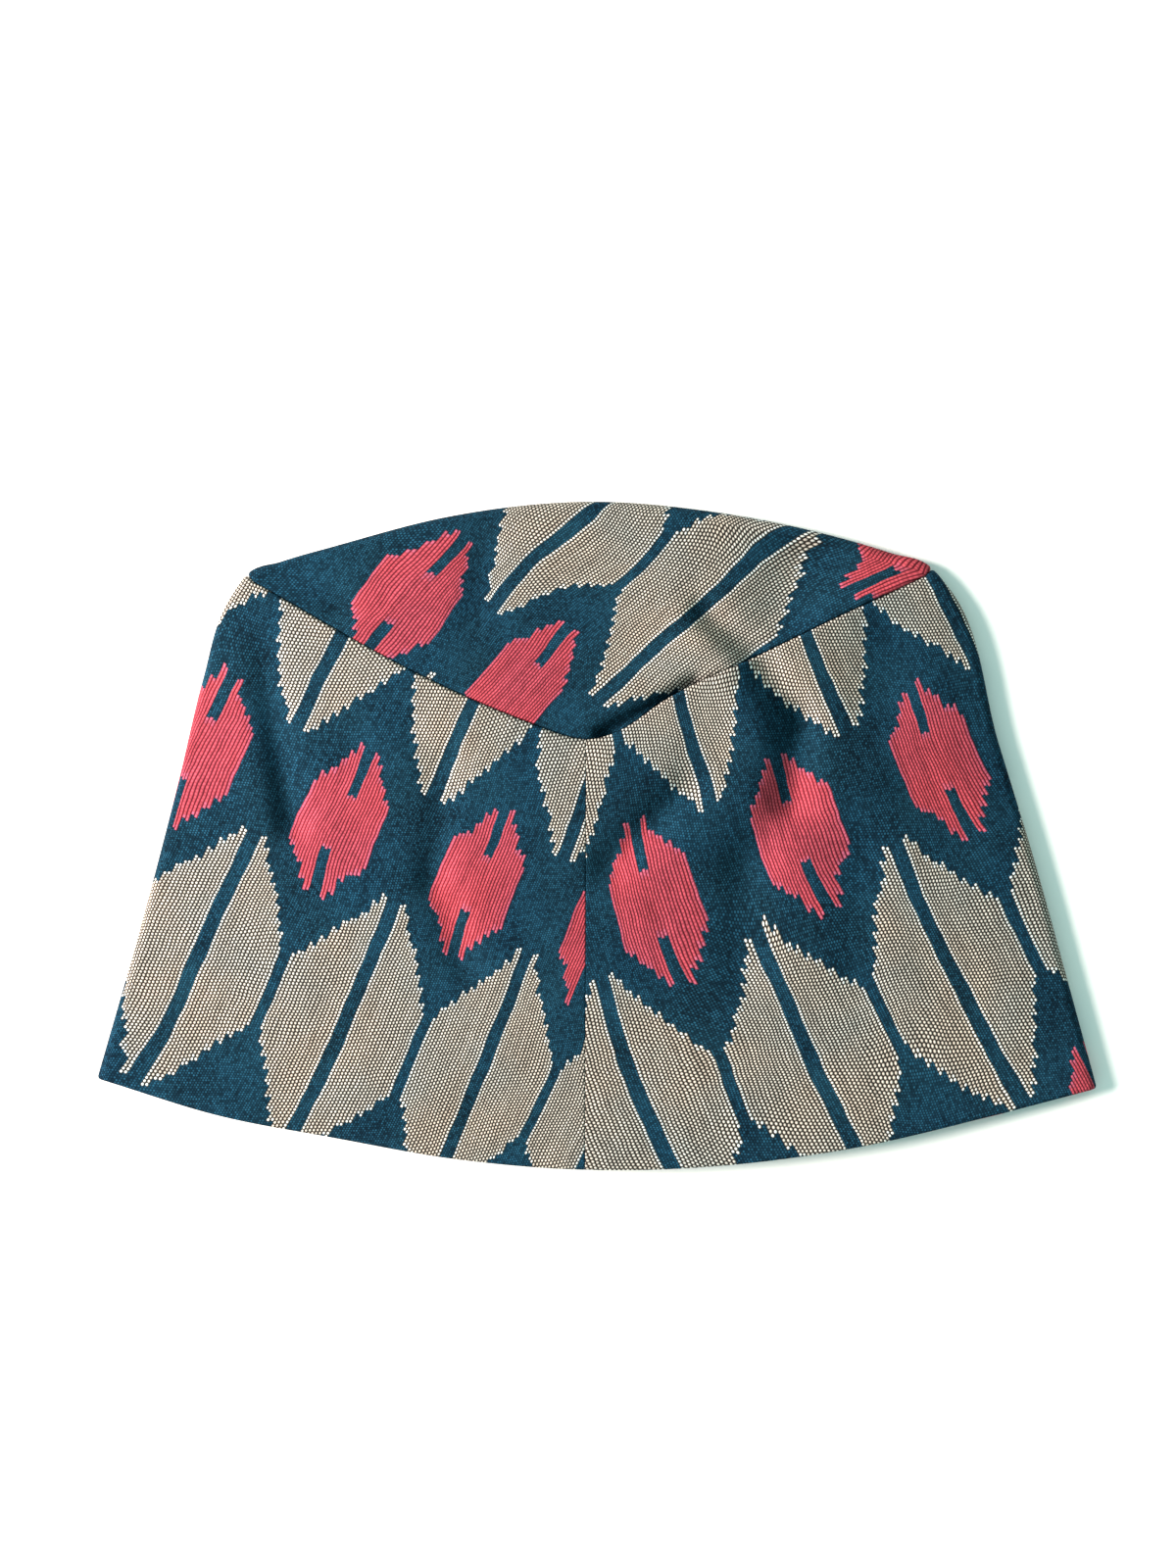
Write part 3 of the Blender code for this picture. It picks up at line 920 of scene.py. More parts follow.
class NodeDesk:
    """Writes a material's formulas as nodes, laid out on a simple grid to the left of the shader."""

    first_place = (-3200, 900)
    spacing = 190
    grid_rows = 9

    def __init__(self, material: bpy.types.Material) -> None:
        """Takes up a material's tree, with its shader and its output.

        Args:
            material: The material that is written.
        """
        material.use_nodes = True
        self.tree = material.node_tree
        self.shader = self.tree.nodes["Principled BSDF"]
        self.count = 0

    def add(self, kind: str) -> bpy.types.Node:
        """A new node in the grid's next place.

        Args:
            kind: The node's type.

        Returns:
            The node.
        """
        node = self.tree.nodes.new(kind)
        column, row = divmod(self.count, self.grid_rows)
        left, top = self.first_place
        node.location = (left + self.spacing * column, top - self.spacing * row)
        self.count += 1
        return node

    def feed(self, socket: bpy.types.NodeSocket, value: Union[Number, tuple[float, ...]]) -> None:
        """Links a socket to a term, or sets it to a plain value.

        Args:
            socket: The node's input.
            value: The term or the value.
        """
        if isinstance(value, Term):
            self.tree.links.new(value.socket, socket)
        else:
            socket.default_value = value

    def math(self, operation: str, *values: Number) -> Term:
        """One step of arithmetic.

        Args:
            operation: The Math node's operation.
            values: Its inputs, in order.

        Returns:
            The result.
        """
        node = self.add("ShaderNodeMath")
        node.operation = operation
        for socket, value in zip(node.inputs, values):
            self.feed(socket, value)
        return Term(self, node.outputs[0])

    def least(self, first: Number, second: Number) -> Term:
        """The smaller of two values."""
        return self.math("MINIMUM", first, second)

    def greatest(self, first: Number, second: Number) -> Term:
        """The greater of two values."""
        return self.math("MAXIMUM", first, second)

    def mix(self, share: Number, first: Tint, second: Tint, blend: str = "MIX") -> Term:
        """One colour laid over another.

        Args:
            share: How much of the second shows, up to 1.
            first: The colour below.
            second: The colour on top.
            blend: How the two are put together.

        Returns:
            The mixed colour.
        """
        node = self.add("ShaderNodeMix")
        node.data_type = "RGBA"
        node.blend_type = blend
        self.feed(node.inputs["Factor"], share)
        for name, colour in (("A", first), ("B", second)):
            socket = next(s for s in node.inputs if s.name == name and s.type == "RGBA")
            self.feed(socket, colour if isinstance(colour, Term) else (*colour, 1.0))
        return Term(self, next(s for s in node.outputs if s.type == "RGBA"))

    def times(self, first: Tint, second: Tint) -> Term:
        """Two colours multiplied."""
        return self.mix(1.0, first, second, blend="MULTIPLY")

    def grey(self, value: Number) -> Term:
        """A grey of the given brightness."""
        node = self.add("ShaderNodeCombineColor")
        for socket in node.inputs:
            self.feed(socket, value)
        return Term(self, node.outputs[0])

    def plane(self, x: Number, y: Number) -> Term:
        """A vector of two numbers."""
        node = self.add("ShaderNodeCombineXYZ")
        self.feed(node.inputs[0], x)
        self.feed(node.inputs[1], y)
        return Term(self, node.outputs[0])

    def parts(self, vector: Term) -> tuple[Term, Term]:
        """A vector's first two numbers."""
        node = self.add("ShaderNodeSeparateXYZ")
        self.feed(node.inputs[0], vector)
        return Term(self, node.outputs[0]), Term(self, node.outputs[1])

    def noise(self, vector: Term, scale: float, detail: float = 2.0) -> Term:
        """Soft noise between 0 and 1.

        Args:
            vector: What the noise runs over.
            scale: Its scale, in repeats a unit of the vector.
            detail: How many finer layers it has.

        Returns:
            The noise.
        """
        node = self.add("ShaderNodeTexNoise")
        self.feed(node.inputs["Vector"], vector)
        self.feed(node.inputs["Scale"], scale)
        self.feed(node.inputs["Detail"], detail)
        return Term(self, node.outputs[0])

    def chance(self, x: Number, y: Number) -> Term:
        """A number by chance, which is different for each pair of whole numbers.

        Args:
            x: The first whole number.
            y: The second.

        Returns:
            The number, between 0 and 1.
        """
        node = self.add("ShaderNodeTexWhiteNoise")
        node.noise_dimensions = "2D"
        self.feed(node.inputs["Vector"], self.plane(x, y))
        return Term(self, node.outputs["Value"])

    def cover(self, colour: Term, roughness: float) -> None:
        """Gives the shader its colour and its roughness."""
        self.feed(self.shader.inputs["Base Color"], colour)
        self.feed(self.shader.inputs["Roughness"], roughness)

    def emboss(self, height: Term, depth: float, strength: float) -> None:
        """Gives the shader a fine relief.

        Args:
            height: The relief's height, up to about 1.
            depth: How deep a height of 1 is, in metres.
            strength: How much of the relief shows.
        """
        bump = self.add("ShaderNodeBump")
        self.feed(bump.inputs["Height"], height)
        self.feed(bump.inputs["Distance"], depth)
        self.feed(bump.inputs["Strength"], strength)
        self.feed(self.shader.inputs["Normal"], Term(self, bump.outputs[0]))


@dataclass(frozen=True)
class YarnGrid:
    """Where a point lies on the grid of inlaid yarns, and what chance gives it there."""

    across: Term
    along: Term
    column: Term
    at_across: Term
    at_along: Term
    bead: Term
    strand: Term
    chance: Term
    yarn_chance: Term


@dataclass(frozen=True)
class Motif:
    """A woven figure: where it is, and how strongly its turned ends and edges take the loops' painted
    highlight.
    """

    inside: Term
    loops: Term


@dataclass(frozen=True)
class PlainWeave:
    """The ground's plain weave: small staggered points, each of its own brightness."""

    pitch: float = 0.70
    squeeze: float = 0.95
    point: float = 0.24
    dimmest: float = 0.05
    brightest: float = 1.35

    def specks(self, desk: NodeDesk, place: Term) -> Term:
        """How bright the ground is: 0 between the points, and each point's own brightness within.

        Args:
            desk: The desk that writes the nodes.
            place: The cloth coordinates.

        Returns:
            The brightness.
        """
        x, y = desk.parts(place)
        at_x = x / self.pitch
        column = at_x.floor()
        at_y = y / (self.pitch * self.squeeze) + column.odd() * 0.5
        row = at_y.floor()
        away = (at_x - column - 0.5) ** 2.0 + (at_y - row - 0.5) ** 2.0
        point = away.ramp(0.0, self.point, 1.0, 0.0, smooth=True)
        return point * desk.chance(column, row).ramp(0.0, 1.0, self.dimmest, self.brightest)


@dataclass(frozen=True)
class YarnLook:
    """How the inlaid yarns lie and catch the light; noise scales are in repeats a millimetre.

    Each bead is a rounded spot: 1 within its core, falling to 0 at its rim, and drawn in by the two
    narrowings. A streak is a rod's yarn, which shows its beads only in part.
    """

    sway_scale: float = 0.11
    drift_scale: float = 0.083
    waver: float = 1.3
    narrow_across: float = 2.05
    narrow_along: float = 1.9
    # The next three also shape the colour: from a yarn's colour in the core to the gap's painted shade at the
    # rim
    bead_core: float = 0.02
    bead_rim: float = 0.80
    strand_core: float = 0.05
    streak: float = 0.58
    yarn_seed: float = 7.0
    # The next four: where the loops' painted highlight lies, and how strong it is along the sides and by the
    # slit
    loop_from: float = 0.9
    loop_to: float = 1.6
    side_loop_highlight: float = 0.55
    inner_loop_highlight: float = 0.60
    slub_across: float = 0.45
    slub_along: float = 0.05
    slub_depth: float = 0.75
    tone: float = 0.82
    bead_chance: float = 0.26
    yarn_chance: float = 0.10


@dataclass(frozen=True)
class InlaidCotton:
    """The finish of handloom cotton: a dark plain weave, inlaid with cream leaves and red rods."""

    name: str
    ground_dark: Colour = (0.0010, 0.0055, 0.0110)
    ground_light: Colour = (0.0130, 0.0690, 0.1210)
    # The leaves' gap colour: the cloth between the beads, darkened with painted shade between the yarns
    leaf_gap_shade: Colour = (0.020, 0.016, 0.014)
    leaf_yarn: Colour = (0.540, 0.500, 0.450)
    # The colour of the leaves' loops: a painted highlight where the cream yarns turn at the ends and edges
    leaf_loop_highlight: Colour = (0.760, 0.800, 0.800)
    # The rods' gap colour: the cloth between the red yarns, darkened with painted shade in the valleys
    # between them
    rod_gap_shade: Colour = (0.060, 0.004, 0.010)
    rod_yarn: Colour = (0.440, 0.066, 0.092)
    # The colour of the rods' loops: a painted pink highlight where the red yarns turn
    rod_loop_highlight: Colour = (0.440, 0.092, 0.150)
    warm: Colour = (1.06, 0.99, 0.93)
    cool: Colour = (0.90, 0.97, 1.00)
    speck_share: float = 0.78
    cloud_share: float = 0.20
    cloud_scale: float = 0.055
    cloud_ramp: tuple[float, float] = (0.3, 0.7)
    cast_scale: float = 0.035
    cast_ramp: tuple[float, float] = (0.36, 0.64)
    roughness: float = 0.95
    specular: float = 0.06
    relief: float = 0.00022
    relief_strength: float = 0.8
    relief_floor: float = 0.25
    ground_relief: float = 0.20
    right_of: float = -900.0
    rods_right_of: float = -900.0
    rods_left_of: float = 900.0
    rods_above: float = -900.0
    repeat: WovenRepeat = field(default_factory=WovenRepeat)
    weave: PlainWeave = field(default_factory=PlainWeave)
    look: YarnLook = field(default_factory=YarnLook)

    def material(self) -> bpy.types.Material:
        """The finish as a material: the grid of yarns, the figures on it, their colours with painted shade
        and painted highlights, then relief.

        Returns:
            The material, which reads the piece's own cloth coordinates.
        """
        material = bpy.data.materials.new(self.name)
        desk = NodeDesk(material)
        uv = desk.add("ShaderNodeUVMap")
        uv.uv_map = CLOTH_MAP
        place = Term(desk, uv.outputs[0])
        grid = self.grid(desk, place)
        leaf = self.leaf(desk, grid)
        rod = self.rod(desk, grid)
        streak = grid.strand * (self.look.streak + grid.bead * (1 - self.look.streak))
        specks = self.weave.specks(desk, place)

        cloud = desk.noise(place, self.cloud_scale, detail=3.0).ramp(*self.cloud_ramp, 0.0, self.cloud_share)
        ground = desk.mix(specks * self.speck_share + cloud, self.ground_dark, self.ground_light)
        # The yarns' colours, with the painted highlight on their loops and the painted shade of the gaps at
        # the rims of the beads and streaks
        leaf_yarn = desk.mix(leaf.loops, self.leaf_yarn, self.leaf_loop_highlight)
        rod_yarn = desk.mix(rod.loops, self.rod_yarn, self.rod_loop_highlight)
        colour = desk.mix(leaf.inside, ground, desk.mix(grid.bead, self.leaf_gap_shade, leaf_yarn))
        colour = desk.mix(rod.inside, colour, desk.mix(streak, self.rod_gap_shade, rod_yarn))
        cast = desk.noise(place, self.cast_scale, detail=4.0).ramp(*self.cast_ramp, 0.0, 1.0)
        colour = desk.times(colour, desk.mix(cast, self.cool, self.warm))
        desk.cover(desk.times(colour, desk.grey(self.tone(desk, grid))), self.roughness)

        rest = 1 - self.relief_floor
        beads = leaf.inside * (self.relief_floor + grid.bead * rest)
        streaks = rod.inside * (self.relief_floor + streak * rest)
        height = desk.greatest(beads, streaks) + specks * self.ground_relief
        desk.emboss(height, self.relief, self.relief_strength)
        desk.feed(desk.shader.inputs["Specular IOR Level"], self.specular)
        return material

    def grid(self, desk: NodeDesk, place: Term) -> YarnGrid:
        """The grid of inlaid yarns: columns along the grain, beads down each, staggered by half a row.

        Args:
            desk: The desk that writes the nodes.
            place: The cloth coordinates.

        Returns:
            The point's place on the grid.
        """
        r, look = self.repeat, self.look
        x, y = desk.parts(place)
        across = x + (desk.noise(place, look.sway_scale) - 0.5) * look.waver
        along = y + (desk.noise(place, look.drift_scale, detail=1.0) - 0.5) * look.waver
        column_at = across / r.yarn_across
        column = column_at.floor()
        stagger = column.odd() * 0.5
        row_at = along / r.yarn_along + stagger
        row = row_at.floor()
        x2 = ((column_at - column - 0.5) * look.narrow_across) ** 2.0
        y2 = ((row_at - row - 0.5) * look.narrow_along) ** 2.0
        return YarnGrid(
            across=across,
            along=along,
            column=column,
            at_across=(column + 0.5) * r.yarn_across,
            at_along=(row + 0.5 - stagger) * r.yarn_along,
            bead=(x2 + y2).ramp(look.bead_core, look.bead_rim, 1.0, 0.0, smooth=True),
            strand=x2.ramp(look.strand_core, 1.0, 1.0, 0.0, smooth=True),
            chance=desk.chance(column, row),
            yarn_chance=desk.chance(column, look.yarn_seed),
        )

    def leaf(self, desk: NodeDesk, grid: YarnGrid) -> Motif:
        """The split leaf: each pair of yarns runs as far as a straight taper and its luck let it.

        Args:
            desk: The desk that writes the nodes.
            grid: The grid of yarns.

        Returns:
            The leaf.
        """
        r = self.repeat
        x = grid.at_across.pingpong(r.across / 2)
        rise = grid.at_along - r.leaf_rise
        y = rise.pingpong(r.along / 2)
        luck = self.luck(desk, grid, x, r.leaf_slit, rise)
        taper = self.taper(x, r.leaf_slit, r.leaf_half_width, 1.0)
        short = self.reach(taper, luck, r.leaf_half_length, r.leaf_half_straight) - y
        within = (desk.least(short, x - r.leaf_slit) > 0.0) * (x < r.leaf_half_width)
        return self.figure(desk, grid, within, short, x, r.leaf_slit, r.leaf_half_width)

    def rod(self, desk: NodeDesk, grid: YarnGrid) -> Motif:
        """The notched rod: shaped as the leaf is, with hollow tapers and a notch at each end only.

        Args:
            desk: The desk that writes the nodes.
            grid: The grid of yarns.

        Returns:
            The rod, kept to the part of the cloth where rods are seen.
        """
        r = self.repeat
        x = r.across / 2 - grid.at_across.pingpong(r.across / 2)
        y = r.along / 2 - grid.at_along.pingpong(r.along / 2)
        first = r.yarn_across * r.rod_first_yarn
        luck = self.luck(desk, grid, x, first, grid.at_along)
        taper = self.taper(x, first, r.rod_half_width, r.rod_hollow)
        reach = self.reach(taper, luck, r.rod_half_length, r.rod_half_straight)
        notched = desk.least(reach, r.rod_core - x * r.rod_core_slope)
        notch = y.ramp(r.rod_core, r.rod_half_length, r.rod_slit, r.rod_slit + r.rod_flare)
        in_notch = (r.across / 2 - grid.across.pingpong(r.across / 2)) < notch
        short = in_notch * notched + (1.0 - in_notch) * reach - y
        within = (short > 0.0) * (x < r.rod_half_width) * (grid.at_along > self.rods_above)
        within = within * (grid.at_across > self.rods_right_of) * (grid.at_across < self.rods_left_of)
        return self.figure(desk, grid, within, short, x, -r.yarn_across, r.rod_half_width)

    def pairs(self, x: Term, slit: float) -> Term:
        """Which pair of yarns a yarn is in, counted from the slit."""
        return ((x - slit) / self.repeat.pair_across).floor()

    def taper(self, x: Term, slit: float, width: float, hollow: float) -> Term:
        """How much of the taper is left at a yarn, from 1 by the slit to 0 at the straight side.

        Args:
            x: The yarn's distance from the figure's middle line.
            slit: Half the slit's width.
            width: Half the figure's width.
            hollow: 1 for a straight taper, more for a hollow one.

        Returns:
            The share.
        """
        pair = self.repeat.pair_across
        return (self.pairs(x, slit) * pair).ramp(0.0, width - slit - pair / 2, 1.0, 0.0) ** hollow

    def luck(self, desk: NodeDesk, grid: YarnGrid, x: Term, slit: float, along: Term) -> Term:
        """How much too long or too short a pair of yarns runs, by chance, with a little for each yarn.

        Args:
            desk: The desk that writes the nodes.
            grid: The grid of yarns.
            x: The yarn's distance from the figure's middle line.
            slit: Half the slit's width.
            along: The yarn point's place along the grain, measured from the figure's middle.

        Returns:
            The extra length.
        """
        r = self.repeat
        half = (grid.at_across / (r.across / 2)).floor()
        pair = self.pairs(x, slit) + half * float(r.columns)
        end = (along / (r.along / 2)).floor()
        luck = desk.chance(pair, end) + desk.chance(grid.column, end) * r.own_luck
        return (luck - (1 + r.own_luck) / 2) * r.raggedness

    @staticmethod
    def reach(taper: Term, luck: Term, length: float, straight: float) -> Term:
        """How far a yarn runs from the figure's middle: the straight side, the taper and its luck."""
        return taper * (length - straight) + luck + straight

    def figure(
        self, desk: NodeDesk, grid: YarnGrid, within: Term, short: Term, x: Term, slit: float, width: float
    ) -> Motif:
        """A figure's area, and the painted highlight on the loops at its yarns' ends and, weaker, along its
        sides.

        Args:
            desk: The desk that writes the nodes.
            grid: The grid of yarns.
            within: Whether the yarn point lies in the figure.
            short: How far the yarn still runs.
            x: The yarn's distance from the middle line.
            slit: Half the slit's width.
            width: Half the figure's width.

        Returns:
            The figure.
        """
        r, look = self.repeat, self.look
        within = within * (grid.at_across > self.right_of)
        ends = short.ramp(r.yarn_along * look.loop_from, r.yarn_along * look.loop_to, 1.0, 0.0)
        near, far = r.yarn_across * look.loop_from, r.yarn_across
        side = (width - x).ramp(near, far, look.side_loop_highlight, 0.0)
        inner = (x - slit).ramp(near, far, look.inner_loop_highlight, 0.0)
        return Motif(within, within * desk.greatest(ends, desk.greatest(side, inner)))

    def tone(self, desk: NodeDesk, grid: YarnGrid) -> Term:
        """Each bead's and each yarn's own brightness, with long slubs drawn out along the grain.

        Args:
            desk: The desk that writes the nodes.
            grid: The grid of yarns.

        Returns:
            The brightness that the colours are multiplied by.
        """
        look = self.look
        stretched = desk.plane(grid.across * look.slub_across, grid.along * look.slub_along)
        slubs = (desk.noise(stretched, 1.0) - 0.5) * look.slub_depth
        return grid.chance * look.bead_chance + grid.yarn_chance * look.yarn_chance + slubs + look.tone


@dataclass(frozen=True)
class EdgeRounding:
    """How far each edge of a piece of cloth is rounded, in millimetres, and on which of its faces."""

    radius: float
    inner: bool
    deepest: float = 0.995

    def drops(self, distance: np.ndarray) -> tuple[np.ndarray, np.ndarray]:
        """How far the outer and the inner face draw in near the edge: a quarter circle of the radius.

        Args:
            distance: Distance from the edge, in millimetres.

        Returns:
            The outer face's drop and the inner face's.
        """
        reach = np.clip(self.radius - distance, 0.0, self.radius * self.deepest)
        drop = self.radius - np.sqrt(self.radius**2 - reach**2)
        return drop, drop if self.inner else np.zeros_like(drop)


@dataclass(frozen=True)
class Overhead:
    """The camera straight over the cap, and where it sees a point in the plane of the outline."""

    view_x: float = -2.475
    view_y: float = 14.575
    view_height: float = 440.0
    camera_height: float = 1500.0
    outline_height: float = 3.0
    sensor: float = 36.0
    clip_end: float = 20.0

    def seen(self, points: np.ndarray) -> np.ndarray:
        """The plan places where raised points are seen, drawn out from the middle of the view.

        Args:
            points: Points in the round, in a last axis of three.

        Returns:
            Their x and y, moved to the height of the outline along the lines of sight.
        """
        middle = np.array([self.view_x, self.view_y])
        drawn = self.camera_height / (self.camera_height + self.outline_height - points[..., 2:])
        return middle + (points[..., :2] - middle) * drawn

    def build(self) -> None:
        """Hangs a long lens over the middle of the view, so that the frame is as tall as the view."""
        lens = bpy.data.cameras.new("overhead")
        lens.sensor_fit = "VERTICAL"
        lens.sensor_height = self.sensor
        lens.lens = self.sensor * self.camera_height / self.view_height
        lens.clip_end = self.clip_end
        camera = bpy.data.objects.new("overhead", lens)
        camera.location = Vector((self.view_x, self.view_y, self.camera_height + self.outline_height)) * MM
        bpy.context.collection.objects.link(camera)
        bpy.context.scene.camera = camera
        bpy.context.scene.view_settings.view_transform = "Standard"


@dataclass
class ClothPiece:
    """One piece of the cap as cloth: a patch, its edges' rounding and its place in the woven repeat."""

    name: str
    patch: ClothPatch
    on_top: np.ndarray
    marks: Sequence[MotifMark]
    outer_drop: np.ndarray
    inner_drop: np.ndarray
    flipped: bool
    form: FoldedForm = field(default_factory=FoldedForm)
    repeat: WovenRepeat = field(default_factory=WovenRepeat)
    overhead: Overhead = field(default_factory=Overhead)
    weld_gap: float = 0.002
    thinnest: float = 0.0005
    sharp_angle: float = 60.0

    def cloth_coordinates(self) -> np.ndarray:
        """The cloth coordinates of every point of the patch.

        Returns:
            Millimetres across and along the grain, in a last axis of two.
        """
        seen = self.overhead.seen(self.on_top)
        away = np.linalg.norm(self.patch.flat - self.on_top[..., :2], axis=-1, keepdims=True)
        flat = self.patch.flat + seen - self.on_top[..., :2]
        return self.repeat.coordinates(self.marks, flat, seen, away)

    def build(self) -> bpy.types.Object:
        """Makes the closed wall: the outer grid, the inner grid a wall inside it, and the edge between.

        Returns:
            The object, with its cloth coordinates as its UV map.
        """
        rows, cols = self.patch.outer.shape[:2]
        outer = self.patch.outer - self.outer_drop[..., None] * self.patch.facing
        inner = self.patch.outer - (self.form.wall - self.inner_drop)[..., None] * self.patch.facing
        index = np.arange(rows * cols).reshape(rows, cols)
        below = index + rows * cols
        skin = np.stack([index[:-1, :-1], index[:-1, 1:], index[1:, 1:], index[1:, :-1]], axis=-1)
        lining = np.stack([below[:-1, :-1], below[1:, :-1], below[1:, 1:], below[:-1, 1:]], axis=-1)
        loop = np.concatenate([index[:-1, 0], index[-1, :-1], index[:0:-1, -1], index[0, :0:-1]])
        after = np.roll(loop, -1)
        hem = np.stack([loop, after, after + rows * cols, loop + rows * cols], axis=-1)
        faces = np.concatenate([skin.reshape(-1, 4), lining.reshape(-1, 4), hem])
        if self.flipped:
            faces = faces[:, ::-1]
        points = np.concatenate([outer, inner]).reshape(-1, 3) * MM
        mesh = bpy.data.meshes.new(self.name)
        mesh.from_pydata(points.tolist(), [], faces.tolist())
        flat = self.cloth_coordinates().reshape(-1, 2)
        corner = np.empty(len(mesh.loops), dtype=np.int32)
        mesh.loops.foreach_get("vertex_index", corner)
        uv = np.concatenate([flat, flat])[corner]
        mesh.uv_layers.new(name=CLOTH_MAP).data.foreach_set("uv", uv.ravel())
        self.weld(mesh)
        piece = bpy.data.objects.new(self.name, mesh)
        bpy.context.collection.objects.link(piece)
        return piece

    def weld(self, mesh: bpy.types.Mesh) -> None:
        """Closes the points where the crown's grid narrows to nothing, and shades the cloth smooth.

        Args:
            mesh: The mesh that is changed.
        """
        form = bmesh.new()
        form.from_mesh(mesh)
        bmesh.ops.remove_doubles(form, verts=form.verts, dist=self.weld_gap * MM)
        bmesh.ops.dissolve_degenerate(form, edges=form.edges, dist=self.thinnest * MM)
        form.to_mesh(mesh)
        form.free()
        mesh.shade_smooth()
        mesh.set_sharp_from_angle(angle=math.radians(self.sharp_angle))


@dataclass(kw_only=True)
class SewnPiece:
    """One sewn piece of the cap: the solid it stands for, its finish, and where its motifs are seen."""

    node: str
    slot: str
    finish: InlaidCotton
    marks: Sequence[MotifMark]
    form: FoldedForm = field(default_factory=FoldedForm)

    def piece(self) -> ClothPiece:
        """The cloth, which each kind of piece works out for itself."""
        raise NotImplementedError

    def make(self) -> bpy.types.Object:
        """Builds the cloth, gives it its finish, hangs it on the root body and hides the solid that it stands
        for.

        Returns:
            The finished object.
        """
        cloth = self.piece()
        piece = cloth.build()
        piece.data.materials.append(self.finish.material())
        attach(piece, "root")
        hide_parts(self.node)
        corners = cloth.patch.flat.reshape(-1, 2)
        width, length = (corners.max(axis=0) - corners.min(axis=0)) * MM
        flat_area(cloth.patch.flat)
        LOG.info("%s: %d faces", piece.name, len(piece.data.polygons))
        return piece


@dataclass(kw_only=True)
class HalfBand(SewnPiece):
    """A half band: from the front seam round the side fold to the back seam, hem at the rim."""

    side: Side
    step: float = 1.5
    back_step: float = 3.5
    climb_length: float = 130.0
    half_width: float = 118.0
    seam_gap: float = 0.012
    least_wall: float = 0.04
    hem: EdgeRounding = EdgeRounding(0.88, True)
    lip: EdgeRounding = EdgeRounding(1.25, False)
    joint: EdgeRounding = EdgeRounding(0.35, False)

    def piece(self) -> ClothPiece:
        """Works out the half band's patch and the rounding of its four edges.

        Returns:
            The cloth piece, its first grid axis from front seam to back seam, its second from the rim.
        """
        climb = graded(self.climb_length, self.step, True, True) * (1 - self.seam_gap / self.climb_length)
        inset = self.seam_gap / self.half_width
        front = (inset + graded(self.half_width, self.step, True, False)).clip(0, 1)
        back = (inset + graded(self.half_width, self.back_step, True, False)).clip(0, 1)[::-1]
        angles = self.form.fold_angles()
        station = self.form.fold_station(self.side, climb)
        plan = self.form.band_plan(self.side, front, climb, Half.FRONT)
        top = self.form.lying(plan, self.form.band_top(front, climb, plan), 1.0, plan)
        fold = self.form.turned(station, angles)
        under_plan = self.form.band_plan(self.side, back, climb, Half.BACK)
        under = self.form.lying(under_plan, np.zeros(1), -1.0, self.form.unrolled(station, under_plan))
        patch = top.joined([fold, under], axis=0)
        on_fold = self.form.fold_top(station)[None]
        hidden = np.broadcast_to(on_fold, (len(angles) + len(back), len(station), 3))
        on_top = np.concatenate([top.outer, hidden], axis=0)
        from_rim = climb * self.climb_length
        from_seam = (climb[-1] - climb) * self.climb_length
        share = np.concatenate([front, np.ones(len(angles)), back])
        from_middle = (share - share[0]) * self.half_width
        outer, inner = self.drops(from_rim, from_seam, from_middle)
        flipped = self.side is Side.RIGHT
        return ClothPiece(self.node + "_cloth", patch, on_top, self.marks, outer, inner, flipped)

    def drops(
        self, from_rim: np.ndarray, from_seam: np.ndarray, from_middle: np.ndarray
    ) -> tuple[np.ndarray, np.ndarray]:
        """The roundings of hem, crown seam and middle seams together: the largest of the three.

        Args:
            from_rim: Distance from the rim, along the second grid axis.
            from_seam: Distance from the crown seam, along the same axis.
            from_middle: Distance from the nearer middle seam, along the first.

        Returns:
            The outer face's drop and the inner face's, which leave a little wall between them.
        """
        hem_outer, hem_inner = self.hem.drops(from_rim)
        lip_outer, _ = self.lip.drops(from_seam)
        joint_outer, _ = self.joint.drops(from_middle)
        outer = np.maximum(np.maximum(hem_outer, lip_outer)[None, :], joint_outer[:, None])
        inner = np.broadcast_to(hem_inner[None, :], outer.shape)
        room = self.form.wall - self.least_wall - inner
        return np.minimum(outer, room), inner


